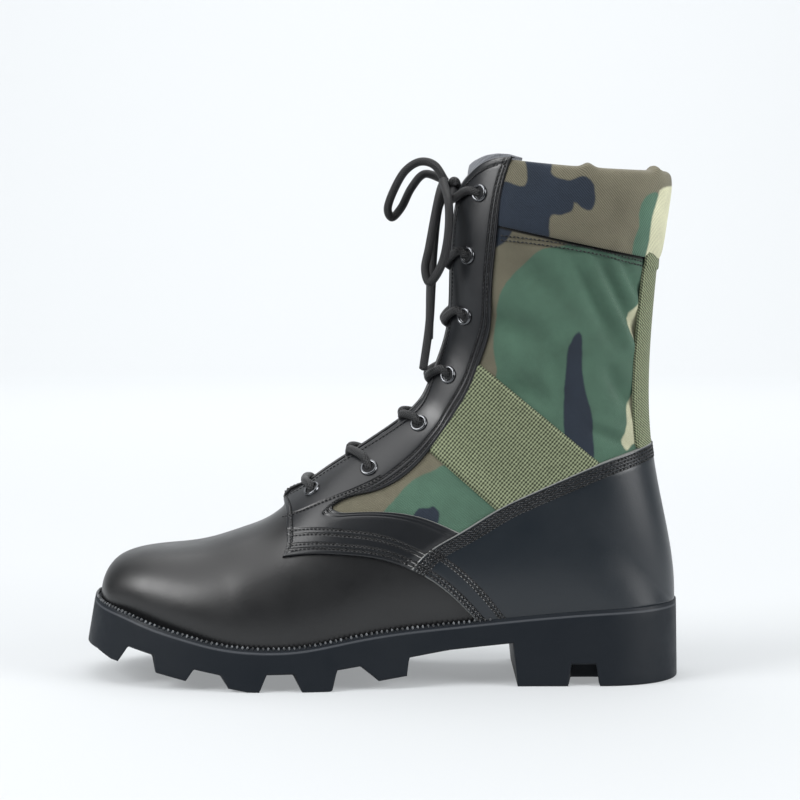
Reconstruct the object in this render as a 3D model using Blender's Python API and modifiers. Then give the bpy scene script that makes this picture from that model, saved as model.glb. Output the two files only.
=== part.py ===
"""Canvas hiking boot for the left foot, standing empty on its sole.

The toe points to -X, the outer side of the foot is -Y and up is +Z. All tables are in millimetres.
The upper is swept through fan-shaped sections: each section runs from a front point on the ridge or throat
to a back point on the sole's edge or the back seam. Every panel is cut from that same surface.
"""
import math

import bmesh
import bpy
import numpy as np
from mathutils import Matrix, Vector

MM = 0.001

# Driving dimensions
TOE_X = -145.8          # front of the upper where it meets the sole
HEEL_X = 149.0          # back of the upper where it meets the sole
WALL = 2.2              # thickness of the upper
GAP = 0.3               # clearance between pieces that touch in the real boot
PANEL_THICKNESS = 1.5   # leather and webbing laid on the upper
CUFF_PADDING = 4.4      # fullest padding of the collar
TONGUE_THICKNESS = 2.4
INSOLE_THICKNESS = 3.0
TUCK = 0.8              # how far the sections reach below the sole's top before they are trimmed
LACE_DIAMETER = 4.3
EYELET_OUTER = 9.3
EYELET_HOLE = 5.7
EYELET_HEIGHT = 0.9
BACKSTAY_WIDTH = 44.0

# Sole edge beyond the upper's lower edge, at its top and at its bottom
EDGE_TOP = {"toe": 2.6, "side": 3.4, "heel": 2.8}
EDGE_BOTTOM = {"toe": 6.7, "side": 5.2, "heel": 3.5}
RIM_HEIGHT = 1.8        # knurled rim along the sole's top edge
RIM_INSET = 0.8
RIM_SLOPE = 0.6

# Plan of the upper's lower edge before its rounded ends: x, reach to the outer side, reach to the inner side
PLAN_COLUMNS = ("x", "outer", "inner")
PLAN_ROWS = (
    (-146.0, 40.0, 54.0),
    (-110.0, 43.5, 49.5),
    (-85.0, 48.5, 48.5),
    (-60.0, 51.5, 48.5),
    (-35.0, 50.5, 46.0),
    (-10.0, 46.0, 41.0),
    (15.0, 40.5, 35.5),
    (40.0, 36.8, 33.0),
    (65.0, 35.2, 33.2),
    (90.0, 34.8, 34.2),
    (115.0, 34.5, 34.5),
    (150.0, 34.5, 34.5),
)
TOE_ROUND_X = -85.0
TOE_ROUND_POWER = 2.3
HEEL_ROUND_X = 111.0
HEEL_ROUND_POWER = 2.1

# Top of the sole and lowest line of its lugs along the foot
SOLE_LINE_COLUMNS = ("x", "z")
SOLE_TOP = (
    (-155.0, 44.0), (-146.0, 40.3), (-131.0, 36.4), (-117.0, 32.0), (-98.0, 27.0), (-81.0, 23.3),
    (-60.0, 21.4), (-41.0, 22.0), (-13.0, 26.6), (10.0, 29.6), (33.0, 31.6), (60.0, 34.1),
    (85.0, 36.4), (106.0, 38.0), (127.0, 39.0), (155.0, 39.5),
)
LUG_LINE = (
    (-153.0, 17.5), (-145.0, 16.0), (-137.0, 12.3), (-113.5, 8.0), (-98.0, 4.8), (-77.0, 1.9),
    (-66.0, 0.0), (-26.0, 0.0), (-1.4, 4.3), (12.3, 6.3), (40.0, 3.0), (66.0, 0.0), (153.0, 0.0),
)

# Grooves between the lugs, seen from the side: where each starts and ends at the lug tips and the web above
GROOVE_COLUMNS = ("tip_start", "web_start", "web_start_z", "web_end", "web_end_z", "tip_end")
GROOVE_ROWS = (
    (-132.5, -128.5, 19.8, -115.0, 16.4, -113.5),
    (-98.0, -95.0, 10.6, -81.0, 8.0, -77.0),
    (-61.0, -58.5, 8.6, -44.6, 8.9, -40.0),
    (-24.5, -23.0, 10.4, -11.0, 12.1, -1.4),
)
ARCH_OUTLINE = ((12.3, -6.0), (13.3, 15.4), (33.0, 18.6), (66.0, 21.7), (69.0, -6.0))
HEEL_NOTCH_OUTLINE = ((87.0, -6.0), (89.0, 11.0), (102.0, 11.0), (104.0, -6.0))
HEEL_NOTCH_SKEW = 9.0
CENTRE_LUG_HALF = 13.0
CHANNEL_WIDTH = 6.0
CHANNEL_DEPTH = 6.0
GROOVE_EDGE_Y = -40.0            # where the table's places hold; beyond it the grooves fan out
GROOVE_FAN = {"x": 9.0, "reach": 1400.0}
HEEL_WELL = {"x": (84.0, 130.0), "half": 11.0, "depth": 6.0}

# Sections of the upper: front point on the ridge or throat, back point, half-width, roundness, collar dip.
# Up to HEEL_ROW the back point lies on the sole's top, whose own line gives its height.
UPPER_COLUMNS = ("front_x", "front_z", "back_x", "back_z", "half", "round", "dip")
UPPER_ROWS = (
    (-145.8, 40.0, -145.8, 40.0, 0.0, 0.80, 0.0),
    (-143.8, 49.5, -141.0, 38.4, 21.0, 0.80, 0.0),
    (-138.5, 58.2, -132.5, 36.9, 30.5, 0.80, 0.0),
    (-128.0, 63.7, -117.5, 32.1, 38.5, 0.80, 0.0),
    (-112.0, 66.6, -99.5, 27.3, 44.8, 0.80, 0.0),
    (-92.0, 69.2, -79.0, 22.9, 49.2, 0.82, 0.0),
    (-72.0, 75.4, -57.0, 21.3, 51.2, 0.86, 0.0),
    (-55.0, 83.3, -33.0, 22.5, 49.8, 0.90, 0.0),
    (-36.5, 99.6, -5.0, 27.8, 45.8, 0.92, 0.0),
    (-15.0, 115.2, 28.0, 31.0, 41.2, 0.92, 0.0),
    (2.0, 127.4, 62.0, 34.4, 38.6, 0.90, 0.0),
    (12.2, 136.0, 92.0, 37.0, 37.7, 0.88, 0.0),
    (19.4, 145.0, 116.0, 38.5, 37.2, 0.86, 0.0),
    (24.0, 155.0, 133.0, 39.0, 37.0, 0.84, 0.0),
    (27.7, 164.5, 144.0, 39.3, 37.0, 0.83, 0.0),
    (30.5, 173.0, 149.0, 38.7, 37.0, 0.82, 0.0),
    (32.4, 181.0, 148.4, 54.0, 37.1, 0.81, 0.0),
    (33.4, 189.0, 145.6, 73.0, 37.4, 0.80, 0.0),
    (33.9, 198.0, 141.2, 95.0, 37.9, 0.80, 0.0),
    (34.2, 208.0, 137.0, 121.0, 38.8, 0.80, 0.0),
    (34.7, 219.0, 135.6, 150.0, 39.9, 0.80, 0.1),
    (35.4, 228.0, 137.0, 183.0, 41.0, 0.80, 0.3),
    (36.4, 236.5, 139.6, 215.0, 42.0, 0.80, 0.6),
    (38.8, 250.0, 141.0, 237.0, 42.6, 0.80, 1.4),
    (42.0, 265.0, 144.0, 256.0, 43.0, 0.80, 2.2),
    (45.2, 280.0, 147.0, 275.0, 43.4, 0.80, 2.6),
)
HEEL_ROW = 15
COLLAR_ROW = 24.0
CUFF_ROW = 22.0
BACKSTAY_ROW = 18.5

# Half the throat's opening along the rows
THROAT_COLUMNS = ("row", "half")
THROAT_ROWS = ((7.3, 0.0), (7.43, 4.0), (7.65, 7.0), (8.1, 9.0), (10.0, 10.5), (16.0, 13.0), (25.0, 16.0))
TONGUE_START_ROW = 7.5
TONGUE_END_ROW = 24.25
TONGUE_HALF = 27.0

# Panels seen from the side, x and z
QUARTER_REAR = (
    (65.0, 264.5), (60.4, 248.2), (57.8, 227.5), (55.0, 191.7), (54.7, 180.1), (50.1, 163.5), (44.1, 147.9),
    (34.5, 131.7), (23.4, 116.6), (8.8, 103.2), (-5.3, 97.0), (-23.0, 91.0),
)
QUARTER_WINDOW = ((-24.5, 89.4), (-22.5, 88.0), (-15.0, 87.3), (8.8, 87.3), (22.8, 84.3), (39.0, 77.5))
COUNTER_TOP = (
    (14.6, 59.8), (20.8, 66.6), (37.8, 76.9), (56.9, 88.3), (76.9, 98.3), (90.9, 104.6), (111.2, 112.9),
    (137.5, 120.3), (160.0, 124.0),
)
QUARTER_LOWER = (
    (14.5, 59.3), (-0.2, 64.6), (-19.1, 67.0), (-33.1, 67.3), (-49.2, 65.4), (-47.3, 70.0), (-47.6, 84.5),
    (-48.6, 92.0),
)
COUNTER_FRONT = ((49.1, 31.3), (36.8, 44.3), (25.3, 53.6))
COLLAR_CORNER = ((35.6, 236.0), (38.2, 244.5), (42.6, 252.9), (48.0, 259.4), (56.3, 264.0), (66.0, 264.6))
STRAP_UPPER = ((30.0, 177.4), (130.0, 95.1))
STRAP_LOWER = ((-2.0, 140.9), (98.0, 54.0))
FRONT_CLEAR = ((-66.0, 92.0), (-40.0, 125.0), (-5.0, 160.0), (10.0, 236.0))

# Eyelets from the lowest up, seen from the side
EYELET_PLACES = (
    (-34.4, 96.3), (-5.9, 108.0), (19.5, 130.1), (34.7, 155.3), (42.9, 185.3), (44.4, 215.8), (50.0, 246.8),
)

# Routes of the free lace: the bow's loops and ends, chosen point by point
LACE_RIDGE_LIFT = 2.6
LACE_EDGE_LIFT = 5.4
LACE_EYELET_LIFT = 6.6
KNOT_CENTRE = (37.4, 0.0, 251.0)
KNOT_RADII = (4.6, 6.0, 5.2)
LOOP_INNER_ROUTE = (
    (32.5, 2.6, 253.4), (27.0, 4.0, 261.6), (19.5, 5.5, 263.4), (12.0, 7.5, 258.8), (6.4, 9.5, 249.5),
    (3.0, 11.5, 239.8),
    (5.2, 13.5, 235.0), (10.2, 15.5, 240.4), (15.2, 16.5, 250.2), (22.0, 15.5, 257.4), (31.5, 9.4, 254.5),
)
LOOP_OUTER_ROUTE = (
    (31.7, -2.8, 253.6), (29.5, -9.5, 247.5), (27.0, -15.0, 236.0), (24.0, -20.5, 220.0),
    (21.9, -24.0, 209.0), (24.4, -27.0, 202.4), (30.4, -29.5, 212.0), (33.4, -30.5, 227.0),
    (33.6, -26.5, 242.0), (31.0, -13.5, 253.5),
)
END_OUTER_ROUTE = (
    (32.5, -2.6, 248.5), (28.5, -6.5, 238.0), (26.2, -11.5, 217.0), (25.2, -15.5, 198.0),
    (24.0, -18.5, 180.0),
    (21.0, -20.5, 158.5),
)
END_INNER_ROUTE = (
    (32.5, 2.6, 248.5), (28.0, 8.0, 238.0), (25.6, 14.0, 218.0), (25.0, 18.0, 198.0), (24.8, 18.5, 184.0),
    (24.4, 18.0, 172.0),
)

# Mesh density
SURFACE_ROWS = (
    0.15, 0.5, 0.9, 1.4, 2.0, 2.8, 3.7, 4.7, 5.7, 6.5, 7.0, 7.3, 7.43, 8.0, 8.7, 9.4, 10.1, 10.8, 11.5, 12.2,
    12.8, 13.4, 14.0, 14.5, 15.0, 15.7, 16.5, 17.3, 18.1, 18.9, 19.8, 20.8, 22.0, 22.4, 23.0, 23.6, 24.0,
)
SURFACE_COLUMNS = 9
PANEL_FIRST_ROW = 5.7
CUFF_FIRST_COLUMN = 2
SOLE_STATIONS = 38

BLACK_LEATHER = ("black_leather", (0.022, 0.022, 0.024, 1.0), 0.42, 0.0)
CANVAS_GREEN = ("camouflage_canvas", (0.060, 0.095, 0.062, 1.0), 0.85, 0.0)
WEBBING_OLIVE = ("olive_webbing", (0.135, 0.150, 0.080, 1.0), 0.80, 0.0)
CUFF_CANVAS = ("cuff_canvas", (0.085, 0.070, 0.050, 1.0), 0.85, 0.0)
TONGUE_CLOTH = ("tongue_cloth", (0.030, 0.031, 0.033, 1.0), 0.75, 0.0)
SOLE_RUBBER = ("sole_rubber", (0.028, 0.030, 0.034, 1.0), 0.62, 0.0)
INSOLE_BOARD = ("insole_board", (0.050, 0.048, 0.045, 1.0), 0.80, 0.0)
EYELET_METAL = ("gunmetal", (0.090, 0.092, 0.095, 1.0), 0.35, 1.0)
LACE_CORD = ("lace_cord", (0.016, 0.016, 0.018, 1.0), 0.70, 0.0)


def spline(knots, values, at):
    """Natural cubic spline through values at knots, read at the given places."""
    knots = np.asarray(knots, float)
    values = np.asarray(values, float)
    step = np.diff(knots)
    slope = np.diff(values) / step
    count = len(knots)
    system = np.eye(count)
    rhs = np.zeros(count)
    for i in range(1, count - 1):
        system[i, i - 1:i + 2] = step[i - 1], 2 * (step[i - 1] + step[i]), step[i]
        rhs[i] = 6 * (slope[i] - slope[i - 1])
    bend = np.linalg.solve(system, rhs)
    at = np.asarray(at, float)
    i = np.clip(np.searchsorted(knots, at) - 1, 0, count - 2)
    right = (at - knots[i]) / step[i]
    left = 1 - right
    curve = ((left ** 3 - left) * bend[i] + (right ** 3 - right) * bend[i + 1]) * step[i] ** 2 / 6
    return left * values[i] + right * values[i + 1] + curve


def column(rows, columns, name):
    return np.array([row[columns.index(name)] for row in rows], float)


def sole_top(x):
    return spline(column(SOLE_TOP, SOLE_LINE_COLUMNS, "x"), column(SOLE_TOP, SOLE_LINE_COLUMNS, "z"), x)


def lug_line(x):
    return np.interp(x, column(LUG_LINE, SOLE_LINE_COLUMNS, "x"), column(LUG_LINE, SOLE_LINE_COLUMNS, "z"))


def foot_plan(x, edge=None):
    """Middle line and half-width of the foot's plan at x, grown by the edge's toe, side and heel reach."""
    edge = edge or {"toe": 0.0, "side": 0.0, "heel": 0.0}
    knots = column(PLAN_ROWS, PLAN_COLUMNS, "x")
    inside = np.clip(x, knots[0], knots[-1])
    outer = spline(knots, column(PLAN_ROWS, PLAN_COLUMNS, "outer"), inside)
    inner = spline(knots, column(PLAN_ROWS, PLAN_COLUMNS, "inner"), inside)
    toe_length = TOE_ROUND_X - (TOE_X - edge["toe"])
    heel_length = HEEL_X + edge["heel"] - HEEL_ROUND_X
    toe = np.clip((TOE_ROUND_X - x) / toe_length, 0, 1)
    heel = np.clip((x - HEEL_ROUND_X) / heel_length, 0, 1)
    rounding = (1 - toe ** TOE_ROUND_POWER) ** (1 / TOE_ROUND_POWER)
    rounding = rounding * (1 - heel ** HEEL_ROUND_POWER) ** (1 / HEEL_ROUND_POWER)
    return (inner - outer) / 2, ((inner + outer) / 2 + edge["side"]) * rounding


def centre_shift():
    """Sideways shift that puts the middle of the sole's widest reach on the frame's X axis."""
    x = np.linspace(TOE_X, HEEL_X, 200)
    middle, half = foot_plan(x, EDGE_BOTTOM)
    return -((middle - half).min() + (middle + half).max()) / 2


SHIFT_Y = centre_shift()


def to_frame(points):
    """Millimetres on the boot's own axis to metres in the frame."""
    points = np.asarray(points, float)
    return (points + np.array([0.0, SHIFT_Y, 0.0])) * MM


def section(row):
    """Front and back points, middle, half-width, exponent, dip and end angle of the sections at the rows."""
    row = np.asarray(row, float)
    index = np.arange(len(UPPER_ROWS))
    table = {name: column(UPPER_ROWS, UPPER_COLUMNS, name) for name in UPPER_COLUMNS}
    found = {name: spline(index, table[name], row) for name in ("front_x", "front_z", "half", "round", "dip")}
    on_foot = row < HEEL_ROW
    foot_x = spline(index[:HEEL_ROW + 1], table["back_x"][:HEEL_ROW + 1], np.clip(row, 0, HEEL_ROW))
    seam_row = np.clip(row, HEEL_ROW, index[-1])
    seam_x = spline(index[HEEL_ROW:], table["back_x"][HEEL_ROW:], seam_row)
    seam_z = spline(index[HEEL_ROW:], table["back_z"][HEEL_ROW:], seam_row)
    found["back_x"] = np.where(on_foot, foot_x, seam_x)
    found["back_z"] = np.where(on_foot, sole_top(foot_x) - TUCK, seam_z)
    middle, feather = foot_plan(foot_x)
    found["half"] = np.maximum(found["half"], 0.01)
    found["middle"] = np.where(on_foot, middle, 0.0)
    share = np.clip(feather / found["half"], 0.0, 0.985)
    foot_angle = math.pi - np.arcsin(share ** (1 / found["round"]))
    found["end_angle"] = np.where(on_foot, foot_angle, math.pi)
    return found


def angle_at_half_width(row, half):
    """Section angle near the front at which the surface is that far from the middle."""
    found = section(row)
    share = np.clip(np.asarray(half, float) / found["half"], 0.0, 0.985)
    return np.arcsin(share ** (1 / found["round"]))


def throat_angle(row):
    known_rows = column(THROAT_ROWS, THROAT_COLUMNS, "row")
    half = np.interp(row, known_rows, column(THROAT_ROWS, THROAT_COLUMNS, "half"))
    return angle_at_half_width(row, half)


def upper_point(row, side, angle):
    """Point of the upper's outer surface: side is -1 outside and +1 inside, angle runs from front to back."""
    found = section(row)
    across = (1 - np.cos(angle)) / (1 - np.cos(found["end_angle"]))
    x = found["front_x"] + across * (found["back_x"] - found["front_x"])
    z = found["front_z"] + across * (found["back_z"] - found["front_z"]) - found["dip"] * np.sin(angle) ** 2
    y = found["middle"] + side * found["half"] * np.maximum(np.sin(angle), 0.0) ** found["round"]
    return np.stack(np.broadcast_arrays(x, y, z), axis=-1)


def upper_normal(row, side, angle):
    """Outward direction of the surface, from small steps along and across the sections."""
    step = 0.01
    along = upper_point(row + step, side, angle) - upper_point(row - step, side, angle)
    across = upper_point(row, side, angle + step) - upper_point(row, side, np.abs(angle - step))
    normal = np.cross(across, along) * -np.asarray(side, float)[..., None]
    return normal / np.linalg.norm(normal, axis=-1, keepdims=True)


def lifted_point(row, side, angle, lift):
    row, side, angle = (np.asarray(value, float) for value in (row, side, angle))
    return upper_point(row, side, angle) + np.asarray(lift, float)[..., None] * upper_normal(row, side, angle)


def locate(x, z):
    """Row and angle whose section passes through a place seen from the side."""
    low, high = 0.5, len(UPPER_ROWS) - 1.0
    for _ in range(50):
        row = (low + high) / 2
        found = section(row)
        reach = (found["back_x"] - found["front_x"], found["back_z"] - found["front_z"])
        turn = reach[0] * (z - found["front_z"]) - reach[1] * (x - found["front_x"])
        low, high = (row, high) if turn > 0 else (low, row)
    length = reach[0] ** 2 + reach[1] ** 2
    across = ((x - found["front_x"]) * reach[0] + (z - found["front_z"]) * reach[1]) / length
    angle = math.acos(1 - float(across) * (1 - math.cos(float(found["end_angle"]))))
    return row, angle


def collection(name):
    found = bpy.data.collections.new(name)
    bpy.context.scene.collection.children.link(found)
    return found


def material(recipe):
    name, colour, roughness, metallic = recipe
    found = bpy.data.materials.get(name)
    if found is None:
        found = bpy.data.materials.new(name)
        found.use_nodes = True
        shader = found.node_tree.nodes["Principled BSDF"]
        shader.inputs["Base Color"].default_value = colour
        shader.inputs["Roughness"].default_value = roughness
        shader.inputs["Metallic"].default_value = metallic
        found.diffuse_color = colour
    return found


def add_object(name, mesh, recipe):
    made = bpy.data.objects.new(name, mesh)
    mesh.materials.append(material(recipe))
    PARTS.objects.link(made)
    return made


def add_cutter(name, mesh):
    made = bpy.data.objects.new(name, mesh)
    made.hide_render = True
    made.display_type = "WIRE"
    CUTTERS.objects.link(made)
    return made


def mesh_from(name, points, faces):
    mesh = bpy.data.meshes.new(name)
    mesh.from_pydata([tuple(point) for point in points], [], faces)
    mesh.update()
    return mesh


def grid_faces(points, start=0, flip=False):
    """Triangles of a grid of points, each cell split along its shorter diagonal."""
    rows, columns = points.shape[:2]
    rising = np.linalg.norm(points[1:, 1:] - points[:-1, :-1], axis=-1)
    falling = np.linalg.norm(points[1:, :-1] - points[:-1, 1:], axis=-1)
    faces = []
    for i in range(rows - 1):
        for j in range(columns - 1):
            a = start + i * columns + j
            b, c, d = a + 1, a + columns + 1, a + columns
            pair = ((a, b, c), (a, c, d)) if rising[i, j] <= falling[i, j] else ((a, b, d), (b, c, d))
            faces += [face[::-1] if flip else face for face in pair]
    return faces


def merge_and_lift(mesh, lift):
    """Joins points that fall together and moves the sheet along its own normals."""
    sheet = bmesh.new()
    sheet.from_mesh(mesh)
    bmesh.ops.remove_doubles(sheet, verts=sheet.verts, dist=0.00004)
    sheet.normal_update()
    for vertex in sheet.verts:
        vertex.co += vertex.normal * lift * MM
    sheet.to_mesh(mesh)
    sheet.free()
    return mesh


def surface_sheet(name, lift, first_row=0.0):
    """The upper's surface as two half sheets joined at ridge and back seam, lifted off its true place."""
    rows = np.array([row for row in SURFACE_ROWS if row >= first_row])
    share = np.linspace(0.0, 1.0, SURFACE_COLUMNS + 1)
    start = throat_angle(rows)
    angle = start[:, None] + (section(rows)["end_angle"] - start)[:, None] * share
    grid = np.broadcast_to(rows[:, None], angle.shape)
    points = []
    faces = []
    for side in (-1.0, 1.0):
        half_sheet = to_frame(upper_point(grid, side, angle))
        faces += grid_faces(half_sheet, start=len(points) * angle.size, flip=side > 0)
        points.append(half_sheet.reshape(-1, 3))
    return merge_and_lift(mesh_from(name, np.concatenate(points), faces), lift)


def patch_sheet(name, rows, half_angles, columns, lift, front=True):
    """A strip across the ridge (front) or across the back seam, from one side to the other."""
    share = np.linspace(-1.0, 1.0, columns + 1)
    side = np.where(share < 0, -1.0, 1.0)
    reach = np.abs(share)[None, :] * half_angles[:, None]
    angle = reach if front else section(rows)["end_angle"][:, None] - reach
    grid = np.broadcast_to(rows[:, None], angle.shape)
    points = to_frame(upper_point(grid, np.broadcast_to(side, angle.shape), angle))
    faces = grid_faces(points, flip=front)
    return merge_and_lift(mesh_from(name, points.reshape(-1, 3), faces), lift)


def thicken(made, thickness, outward):
    shell = made.modifiers.new("wall", "SOLIDIFY")
    shell.thickness = thickness * MM
    shell.offset = 1.0 if outward else -1.0
    shell.use_even_offset = False
    shell.use_rim = True


def cut(made, cutter, operation="DIFFERENCE"):
    tool = made.modifiers.new(operation.lower() + "_" + cutter.name, "BOOLEAN")
    tool.operation = operation
    tool.solver = "EXACT"
    tool.object = cutter


def grow_outline(outline, distance):
    """Moves each side of a closed outline outward by a distance."""
    points = np.asarray(outline, float)
    area = np.sum(points[:, 0] * np.roll(points[:, 1], -1) - np.roll(points[:, 0], -1) * points[:, 1])
    ahead = np.roll(points, -1, axis=0) - points
    ahead /= np.linalg.norm(ahead, axis=1, keepdims=True)
    outward = np.stack([ahead[:, 1], -ahead[:, 0]], axis=1) * np.sign(area)
    before = np.roll(outward, 1, axis=0)
    corner = (outward + before) / (1 + np.sum(outward * before, axis=1, keepdims=True))
    return points + corner * distance


def side_prism(name, outline, near, far, grow=0.0, skew=0.0):
    """A cutter across the boot: an outline in x and z, from one y to another, slid along x by the skew."""
    points = grow_outline(outline, grow)
    count = len(points)
    low = [(x, near, z) for x, z in points]
    high = [(x + skew, far, z) for x, z in points]
    faces = [tuple(range(count)), tuple(range(2 * count - 1, count - 1, -1))]
    faces += [(i, count + i, count + (i + 1) % count, (i + 1) % count) for i in range(count)]
    mesh = mesh_from(name, to_frame(low + high), faces)
    solid = bmesh.new()
    solid.from_mesh(mesh)
    bmesh.ops.recalc_face_normals(solid, faces=solid.faces)
    solid.to_mesh(mesh)
    solid.free()
    return add_cutter(name, mesh)


def loft(name, loops):
    """A closed solid through loops of equal length, with a flat cap at either end."""
    loops = np.asarray(loops)
    rows, count = loops.shape[:2]
    faces = [tuple(range(count)), tuple(range(rows * count - 1, (rows - 1) * count - 1, -1))]
    for i in range(rows - 1):
        for j in range(count):
            a = i * count + j
            b = i * count + (j + 1) % count
            faces.append((a, a + count, b + count, b))
    mesh = mesh_from(name, to_frame(loops.reshape(-1, 3)), faces)
    solid = bmesh.new()
    solid.from_mesh(mesh)
    bmesh.ops.recalc_face_normals(solid, faces=solid.faces)
    solid.to_mesh(mesh)
    solid.free()
    return mesh


def stations(count, end=0.0015):
    """Shares of the foot's length, close together at the rounded toe and heel."""
    return (1 - np.cos(np.linspace(0, math.pi, count))) / 2 * (1 - 2 * end) + end


def edge_line(share, edge):
    """Outer and inner points of the foot's plan, grown by an edge, at shares of its own length."""
    front = TOE_X - edge["toe"]
    x = front + (HEEL_X + edge["heel"] - front) * share
    middle, half = foot_plan(x, edge)
    return x, middle - half, middle + half


def sole_loops():
    """Sections of the sole block: the set-back rim at the top, the wall, and the line of the lug tips."""
    share = stations(SOLE_STATIONS)
    top_x, top_outer, top_inner = edge_line(share, EDGE_TOP)
    tip_x, tip_outer, tip_inner = edge_line(share, EDGE_BOTTOM)
    top_z = sole_top(top_x)
    tip_z = lug_line(tip_x)
    loops = []
    for i in range(len(share)):
        depth = top_z[i] - tip_z[i]
        half = (top_inner[i] - top_outer[i]) / 2
        inset = min(RIM_INSET, half / 4)
        wall = []
        for drop, inward in ((0.0, inset), (RIM_HEIGHT, inset), (RIM_HEIGHT + RIM_SLOPE, 0.0), (depth, 0.0)):
            along = drop / depth
            x = top_x[i] + (tip_x[i] - top_x[i]) * along
            z = top_z[i] - drop
            outer = top_outer[i] + (tip_outer[i] - top_outer[i]) * along + inward
            inner = top_inner[i] + (tip_inner[i] - top_inner[i]) * along - inward
            wall.append(((x, outer, z), (x, inner, z)))
        loops.append([outer for outer, _ in wall] + [inner for _, inner in reversed(wall)])
    return loops


def make_sole():
    made = add_object("outsole", loft("outsole", sole_loops()), SOLE_RUBBER)
    far = 90.0
    for number, row in enumerate(GROOVE_ROWS, 1):
        groove = dict(zip(GROOVE_COLUMNS, row))
        slope = ((groove["web_start"] + groove["web_end"]) / 2 - GROOVE_FAN["x"]) / GROOVE_FAN["reach"]
        slid = slope * (-far - GROOVE_EDGE_Y)
        outline = ((groove["tip_start"], -6.0), (groove["web_start"], groove["web_start_z"]),
                   (groove["web_end"], groove["web_end_z"]), (groove["tip_end"], -6.0))
        outline = [(x + slid, z) for x, z in outline]
        cut(made, side_prism(f"lug_groove_{number}", outline, -far, far, skew=slope * 2 * far))
    channel_x = np.array([-122.0, -98.0, -77.0, -62.0, -26.0, 0.0, 20.0])
    tops = lug_line(channel_x) + CHANNEL_DEPTH
    outline = [(channel_x[0], -6.0)] + list(zip(channel_x, tops)) + [(channel_x[-1], -6.0)]
    for side in (-1, 1):
        start = side * CENTRE_LUG_HALF
        cut(made, side_prism(f"channel_{side + 1}", outline, start, start + side * CHANNEL_WIDTH))
    cut(made, side_prism("arch", ARCH_OUTLINE, -far, far))
    for side in (-1, 1):
        name = f"heel_notch_{side + 1}"
        notch = side_prism(name, HEEL_NOTCH_OUTLINE, side * far, side * 15.0, skew=HEEL_NOTCH_SKEW)
        cut(made, notch)
    well = HEEL_WELL
    outline = ((well["x"][0], -6.0), (well["x"][0] + 1, well["depth"]), (well["x"][1] - 1, well["depth"]),
               (well["x"][1], -6.0))
    cut(made, side_prism("heel_well", outline, -well["half"], well["half"]))


def make_insole():
    edge = {"toe": -WALL - 4.0, "side": -WALL - 2.8, "heel": -WALL - 2.6}
    x, outer, inner = edge_line(stations(20, 0.01), edge)
    low = sole_top(x) + GAP
    high = low + INSOLE_THICKNESS
    loops = np.stack([np.stack([x, outer, high], 1), np.stack([x, outer, low], 1),
                      np.stack([x, inner, low], 1), np.stack([x, inner, high], 1)], axis=1)
    add_object("insole", loft("insole", loops), INSOLE_BOARD)


def sole_clearance():
    """Everything below the sole's top and its clearance, with the sole's own stations."""
    x = edge_line(stations(SOLE_STATIONS), EDGE_TOP)[0]
    outline = [(x[0] - 20.0, -20.0), (x[0] - 20.0, float(sole_top(x[0])) + GAP)]
    outline += [(place, float(sole_top(place)) + GAP) for place in x]
    outline += [(x[-1] + 20.0, float(sole_top(x[-1])) + GAP), (x[-1] + 20.0, -20.0)]
    return side_prism("sole_clearance", outline, -100.0, 100.0)


def corner_cutter():
    """The rounded front corner of the collar: everything in front of and above it."""
    last = COLLAR_CORNER[-1]
    first = COLLAR_CORNER[0]
    outline = list(COLLAR_CORNER) + [(last[0], 300.0), (first[0] - 30.0, 300.0), (first[0] - 30.0, first[1])]
    return side_prism("collar_corner", outline, -100.0, 100.0)


def quarter_outline():
    return FRONT_CLEAR + ((10.0, 290.0), (68.0, 290.0)) + QUARTER_REAR + QUARTER_WINDOW + QUARTER_LOWER


def counter_outline():
    return COUNTER_TOP + ((160.0, 10.0), (62.0, 10.0)) + COUNTER_FRONT


def strap_outline():
    return STRAP_UPPER + STRAP_LOWER[::-1]


def panel(name, recipe, outline, trims, side=None):
    """A panel laid on the upper: a lifted shell of its surface kept inside an outline seen from the side."""
    near, far = {None: (-120.0, 120.0), -1: (-120.0, 0.0), 1: (0.0, 120.0)}[side]
    made = add_object(name, surface_sheet(name, GAP, PANEL_FIRST_ROW), recipe)
    thicken(made, PANEL_THICKNESS, outward=True)
    cut(made, side_prism(name + "_outline", outline, near, far), "INTERSECT")
    for trim in trims:
        cut(made, trim)
    return made


def make_upper(clearance, corner):
    made = add_object("upper", surface_sheet("upper", 0.0), CANVAS_GREEN)
    thicken(made, WALL, outward=False)
    cut(made, clearance)
    cut(made, corner)


def make_tongue():
    rows = np.linspace(TONGUE_START_ROW, TONGUE_END_ROW, 14)
    half = angle_at_half_width(rows, np.interp(rows, (7.5, 10.0, 24.0), (14.0, 22.0, TONGUE_HALF)))
    made = add_object("tongue", patch_sheet("tongue", rows, half, 8, -WALL - 1.1), TONGUE_CLOTH)
    thicken(made, TONGUE_THICKNESS, outward=False)


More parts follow.
